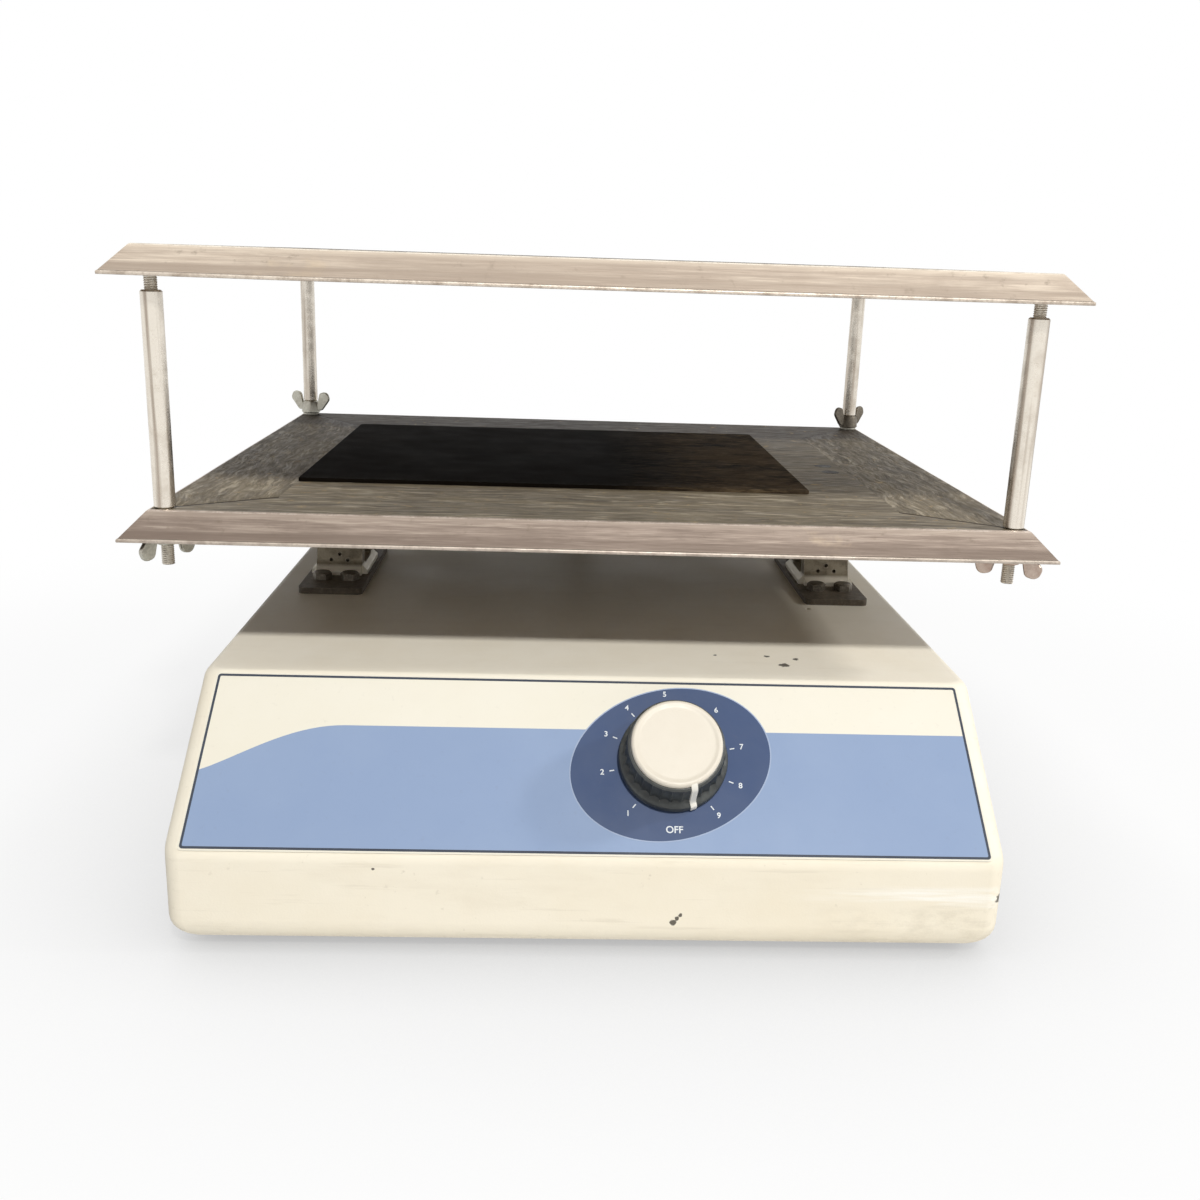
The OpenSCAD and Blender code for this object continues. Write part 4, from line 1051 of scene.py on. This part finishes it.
def threadRadius(radius, height, angle):
    # a fine thread: the crest climbs one pitch in each turn
    share = (height / post["pitch"] - angle / math.tau) % 1.0
    return radius - post["threadDeep"] * abs(2 * share - 1)


def addThread(start, end):
    count = max(2, round((end - start) / (post["pitch"] / 5)))
    profile = [(post["stud"], start + (end - start) * k / count) for k in range(count + 1)]
    return revolve(profile, 20, threadRadius)


def addPosts(node, name, shoulder):
    # shoulder: the height where the thick shank starts
    low, high = rowBox(node)
    neck = high.z - post["neck"]
    c, r, overlap = post["chamfer"], post["radius"], post["overlap"]
    shank = revolve([(r - c, shoulder), (r, shoulder + c), (r, neck - c), (r - c, neck)], 40)
    rod = joined(shank, addThread(low.z, shoulder + overlap), addThread(neck - overlap, high.z))
    pair = [moved(rod, Matrix.Translation((side * (high.x - r), middleOf(node).y, 0))) for side in (-1, 1)]
    plain, whole = len(shank[1]), len(rod[1])
    addPiece(name, *joined(*pair), ("post", "stud"), "platform", (node,), 40.0,
             lambda i: int(i % whole >= plain))


addPosts("front_posts", "frontPostRods", rowBox("post_washers")[1].z - 1 * mm)
addPosts("rear_posts", "rearPostRods", rowBox("rear_wing_nuts")[0].z + 7 * mm)

wing = {
    "span": 26 * mm,
    "tall": 13 * mm,
    "hubTall": 7 * mm,
    "root": 2.6 * mm,     # thickness
    "tip": 1.7 * mm,
    "bore": 2.6 * mm,     # radius
    "hubSteps": 36,
}


def wingNut():
    # stands on z = 0 with its wings along X
    w = wing
    s, t = w["span"], w["tall"]
    outline = rounded([(s * 0.14, 0.8 * mm, 0), (s * 0.3, 1.6 * mm, 2 * mm), (s / 2, t * 0.62, 2.5 * mm),
                       (s * 0.44, t, 3 * mm), (s * 0.24, t * 0.9, 2.5 * mm),
                       (s * 0.19, w["hubTall"] * 0.9, 0)], 6)
    middle = sum(outline, Vector((0, 0))) / len(outline)

    def wingLoop(side, depth, inset):
        loop = []
        for p in outline:
            thick = (w["root"] + (w["tip"] - w["root"]) * min(1.0, p.x / (s / 2))) / 2
            q = p + (middle - p).normalized() * inset * mm
            loop.append(Vector((side * q.x, side * depth * thick, q.y)))
        return loop

    depths = ((-1.0, 0.55), (-0.6, 0.12), (0.0, 0.0), (0.6, 0.12), (1.0, 0.55))
    wings = [loft([wingLoop(side, depth, inset) for depth, inset in depths]) for side in (1, -1)]
    foot, neck = s * 0.21, s * 0.18
    steps = w["hubSteps"]
    verts, faces = revolve(
        [(w["bore"], 0.4 * mm), (w["bore"] + 0.4 * mm, 0), (foot - 0.5 * mm, 0), (foot, 0.5 * mm),
         (foot * 0.97, 2.2 * mm), (neck, w["hubTall"] - 0.8 * mm), (neck - 0.8 * mm, w["hubTall"]),
         (w["bore"] + 0.4 * mm, w["hubTall"]), (w["bore"], w["hubTall"] - 0.4 * mm)], steps)
    # the wall of the bore in place of the two caps
    last = len(verts) - steps
    bore = [(last + j, last + (j + 1) % steps, (j + 1) % steps, j) for j in range(steps)]
    return joined((verts, faces[:-2] + bore), *wings)


def addWingNuts(node, name, below, turns, looks):
    # turns in degrees and looks: of the left nut and of the right one
    low, high = rowBox(node)
    postX = rowBox("front_posts")[1].x - post["radius"]
    nut = wingNut()
    flip = Matrix.Rotation(math.pi if below else 0, 4, "X")
    pair = []
    for side, turn in zip((-1, 1), turns):
        seat = Matrix.Translation((side * postX, middleOf(node).y, high.z if below else low.z))
        pair.append(moved(nut, seat @ Matrix.Rotation(math.radians(turn), 4, "Z") @ flip))
    addPiece(name, *joined(*pair), looks, "platform", (node,), 38.0, lambda i: int(i >= len(nut[1])))


addWingNuts("front_wing_nuts", "frontWingNutPair", True, (55, -25), ("zinc", "rustyZinc"))
addWingNuts("rear_wing_nuts", "rearWingNutPair", False, (-20, 35), ("zinc", "darkZinc"))
print("posts and wing nuts are in place")


label = {
    "across": dialPlace.x,
    "up": 37.1 * mm,          # the dial's axis above the label's bottom edge
    "halfBottom": 147.8 * mm,
    "halfTop": 143.4 * mm,
    "long": 70 * mm,
    "film": 0.30 * mm,
    "ink": 0.04 * mm,
    "line": 0.9 * mm,
    "edge": 0.7 * mm,
    "hole": 7.6 * mm,
}


def onLabel(x, up):
    # label coordinates in millimetres from the middle of its bottom edge
    return Vector((x * mm - label["across"], up * mm - label["up"]))


def labelOutline(inset, radius):
    t = label
    lean = (t["halfBottom"] - t["halfTop"]) / t["long"]
    low, high = inset, t["long"] - inset

    def half(up):
        return t["halfBottom"] - lean * up - inset

    corners = [(-half(low), low), (half(low), low), (half(high), high), (-half(high), high)]
    return rounded([(x - t["across"], up - t["up"], radius) for x, up in corners], 5)


def addInk(name, outlines, layer, look, instead=()):
    # layer 0 is the film itself, and each further layer lies one ink thickness higher
    low = 0.01 * mm if layer == 0 else label["film"] - label["ink"]
    high = label["film"] + layer * label["ink"]
    mesh = filledShape(name, outlines, low, high)
    mesh.transform(panel)
    mesh.materials.append(finishes[look])
    settle(name, mesh, "base", instead)


hole = circle(label["hole"])
addInk("labelFilm", [labelOutline(0, 1.5 * mm), hole], 0, "film", ("front_label",))
frameInner = label["edge"] + label["line"]
addInk("labelFrame", [labelOutline(label["edge"], 1.2 * mm), labelOutline(frameInner, 0.6 * mm)],
       2, "darkInk")

field = {
    # millimetres on the label
    "left": 30.5,       # height at the left edge
    "level": 49.0,      # height where it runs level
    "swing": 52.0,      # how far it takes to get there
    "steps": 16,
}


def blueField():
    # fills the lower part; its upper edge swings up from the left and then runs level
    inner = frameInner / mm
    lean = (label["halfBottom"] - label["halfTop"]) / label["long"]
    left, level = field["left"], field["level"]

    def side(up):
        return label["halfBottom"] / mm - lean * up - inner

    swing = []
    for k in range(field["steps"] + 1):
        share = k / field["steps"]
        up = left + (level - left) * math.sin(share * math.pi / 2) ** 1.15
        swing.append((-side(left) + share * field["swing"], up))
    points = [(-side(inner), inner), (side(inner), inner), (side(level), level)] + list(reversed(swing))
    return [onLabel(*p) for p in points]


addInk("labelField", [blueField(), hole], 1, "blueInk")

oval = {"x": 30.2, "up": 36.2, "halfWide": 37.75, "halfTall": 30.4, "tilt": 4.6}


def ovalOutline(grow=0.0):
    o = oval
    wide, tall = o["halfWide"] + grow, math.sqrt(o["halfTall"] ** 2 - o["tilt"] ** 2) + grow
    return [onLabel(o["x"] + wide * math.cos(a), o["up"] + o["tilt"] * math.cos(a) + tall * math.sin(a))
            for a in (math.tau * k / 96 for k in range(96))]


addInk("labelOvalRim", [ovalOutline(0.45), ovalOutline(-0.1)], 3, "paleInk")
addInk("labelOval", [ovalOutline(), hole], 4, "navyInk")

scale = {
    # millimetres from the dial's axis and heights of the figures
    "radius": 27.0,
    "tickFrom": 22.4,
    "tickTo": 24.2,
    "tickHalf": 0.22,
    "tall": 2.2,
    "offTall": 2.7,
    # direction of each figure from the dial's axis, clockwise from the right, in degrees
    "turns": (129, 169, 202, 231, 265, 310, 347.5, 380.9, 412.1),
}


def addFigure(name, text, across, up, tall):
    font = bpy.data.curves.new(name, "FONT")
    font.body = text
    font.size = tall * 1.35 * mm
    font.align_x = "CENTER"
    font.align_y = "CENTER"
    font.extrude = label["ink"]
    font.offset = 0.06 * mm
    lift = label["film"] + 5 * label["ink"]
    mesh = meshOf(name, font, panel @ Matrix.Translation((across * mm, up * mm, lift)))
    mesh.materials.append(finishes["whiteInk"])
    settle(name, mesh, "base")


for number, turn in enumerate(scale["turns"], 1):
    a = -math.radians(turn)
    x, y = math.cos(a), math.sin(a)
    addFigure("figure%d" % number, str(number), scale["radius"] * x, scale["radius"] * y, scale["tall"])
    half = Vector((-y, x)) * scale["tickHalf"] * mm
    start, end = (Vector((x, y)) * scale[k] * mm for k in ("tickFrom", "tickTo"))
    addInk("tick%d" % number, [[start - half, end - half, end + half, start + half]], 5, "whiteInk")
addFigure("figureOff", "OFF", 0.0, -scale["radius"], scale["offTall"])
print("the printed panel is in place")


knob = {
    "radius": 20.5 * mm,
    "capRadius": 16.8 * mm,
    "skirt": 4.0 * mm,
    "lift": 1.2 * mm,
    "top": 16.6 * mm,
    "tall": 19.0 * mm,
    "flutes": 30,
    "fluteDeep": 1.0 * mm,
    "hollow": 8.6 * mm,       # radius, as in the next one
    "bore": 3.05 * mm,
    "pointerTurn": 70,        # degrees, clockwise from the right
    "pointerHalf": 1.2 * mm,
    "pointerProud": 0.35 * mm,
}


def knobProfile():
    radius, cap, lift, skirt, top = (knob[k] for k in ("radius", "capRadius", "lift", "skirt", "top"))
    return [(radius - 0.6 * mm, lift), (radius, lift + 0.5 * mm), (radius, skirt - 0.2 * mm),
            (radius - 0.35 * mm, skirt + 0.5 * mm), (radius - 1.0 * mm, skirt + 0.9 * mm),
            (cap + 1.9 * mm, skirt + 2.2 * mm), (cap + 1.4 * mm, top - 1.4 * mm),
            (cap + 1.1 * mm, top - 0.5 * mm), (cap + 0.4 * mm, top)]


def flutedRadius(radius, height, angle):
    k = knob
    start, end = k["skirt"] + 0.9 * mm, k["top"] - 0.5 * mm
    if height <= start or height >= end:
        return radius
    share = (angle * k["flutes"] / math.tau) % 1.0
    scoop = math.sin(math.pi * share) ** 0.8
    return radius - k["fluteDeep"] * scoop


def addKnob():
    k = knob
    profile = knobProfile()
    dense = []
    for (r0, z0), (r1, z1) in zip(profile, profile[1:]):
        steps = 6 if z1 - z0 > 3 * mm else 1
        dense += [(r0 + (r1 - r0) * i / steps, z0 + (z1 - z0) * i / steps) for i in range(steps)]
    dense.append(profile[-1])
    body = revolve(dense, 240, flutedRadius)
    piece = addPiece("knobBody", *moved(body, panel), "blackPlastic", "dial", ("knob",), 34.0)
    cutOut(piece, [moved(flatSolid(circle(k["hollow"], 40), k["lift"] - 1 * mm, k["lift"] + 5 * mm), panel),
                   moved(flatSolid(circle(k["bore"], 32), k["lift"] - 2 * mm, k["top"] - 4 * mm), panel)])
    r, top, tall = k["capRadius"], k["top"], k["tall"]
    cap = revolve([(r - 0.4 * mm, top - 0.2 * mm), (r, top + 0.2 * mm), (r, tall - 1.0 * mm),
                   (r - 0.3 * mm, tall - 0.35 * mm), (r - 0.9 * mm, tall), (r - 1.7 * mm, tall - 0.05 * mm),
                   (r - 2.3 * mm, tall - 0.35 * mm), (r - 3.2 * mm, tall - 0.4 * mm)], 96)
    addPiece("knobCapDisc", *moved(cap, panel), "capPlastic", "dial", ("knob_cap",), 40.0)


def addPointer():
    # a raised line from the cap over the flank to the edge of the skirt
    k = knob
    a = -math.radians(k["pointerTurn"])
    way, across = Vector((math.cos(a), math.sin(a))), Vector((-math.sin(a), math.cos(a)))
    path = [(k["capRadius"] - 0.8 * mm, k["tall"] - 0.6 * mm),
            (k["capRadius"] + 0.3 * mm, k["tall"] - 1.3 * mm)]
    path += [(r, z) for r, z in reversed(knobProfile()[1:]) if z < k["top"]]
    loops = []
    for i, (r, z) in enumerate(path):
        before, after = path[max(0, i - 1)], path[min(len(path) - 1, i + 1)]
        along = (Vector(after) - Vector(before)).normalized()
        out = Vector((-along.y, along.x))
        if out.x < 0:
            out = -out
        loop = []
        for side, lift in ((-1, -1.2), (-1, 0.6), (-0.7, 1), (0.7, 1), (1, 0.6), (1, -1.2)):
            p = Vector((r, z)) + out * k["pointerProud"] * lift
            q = way * p.x + across * side * k["pointerHalf"]
            loop.append(Vector((q.x, q.y, p.y)))
        loops.append(loop)
    addPiece("knobPointer", *moved(loft(loops), panel), "pointerPaint", "dial", (), 40.0)


addKnob()
addPointer()
print("the knob is in place")


nodeFinishes = {
    # every node that isn't named here is zinc
    "painted": ("base_housing",),
    "film": ("front_label",),
    "sheet": ("base_plate", "cross_channel", "spine_channel"),
    "plate": ("left_stand_plate", "right_stand_plate"),
    "cast": ("left_pivot_stand", "right_pivot_stand"),
    "darkZinc": ("stand_bolts", "rear_wing_nuts"),
    "rustyZinc": ("front_wing_nuts",),
    "blackSteel": ("hanger_screws", "crank_set_screw", "roller_clip", "pin_clips"),
    "bronze": ("pivot_bushes", "guide_bush"),
    "turned": ("gearmotor", "motor_shaft", "crank_disc", "crank_pin", "drive_yoke", "push_rod", "rod_pin",
               "pivot_pins", "control_shaft"),
    "copper": ("transformer",),
    "board": ("control_board",),
    "blackPlastic": ("power_inlet", "fuse_holder", "potentiometer", "knob"),
    "capPlastic": ("knob_cap",),
    "whitePlastic": ("crank_roller",),
    "footRubber": ("rubber_feet",),
    "mat": ("lower_mat", "upper_mat"),
    "trayTopX": ("lower_tray", "upper_tray"),
    "post": ("front_posts", "rear_posts"),
}
finishOf = {node: look for look, members in nodeFinishes.items() for node in members}
for name, node in nodes.items():
    node.data.materials.clear()
    node.data.materials.append(finishes[finishOf.get(name, "zinc")])
print("finishes are on all", len(nodes), "nodes")
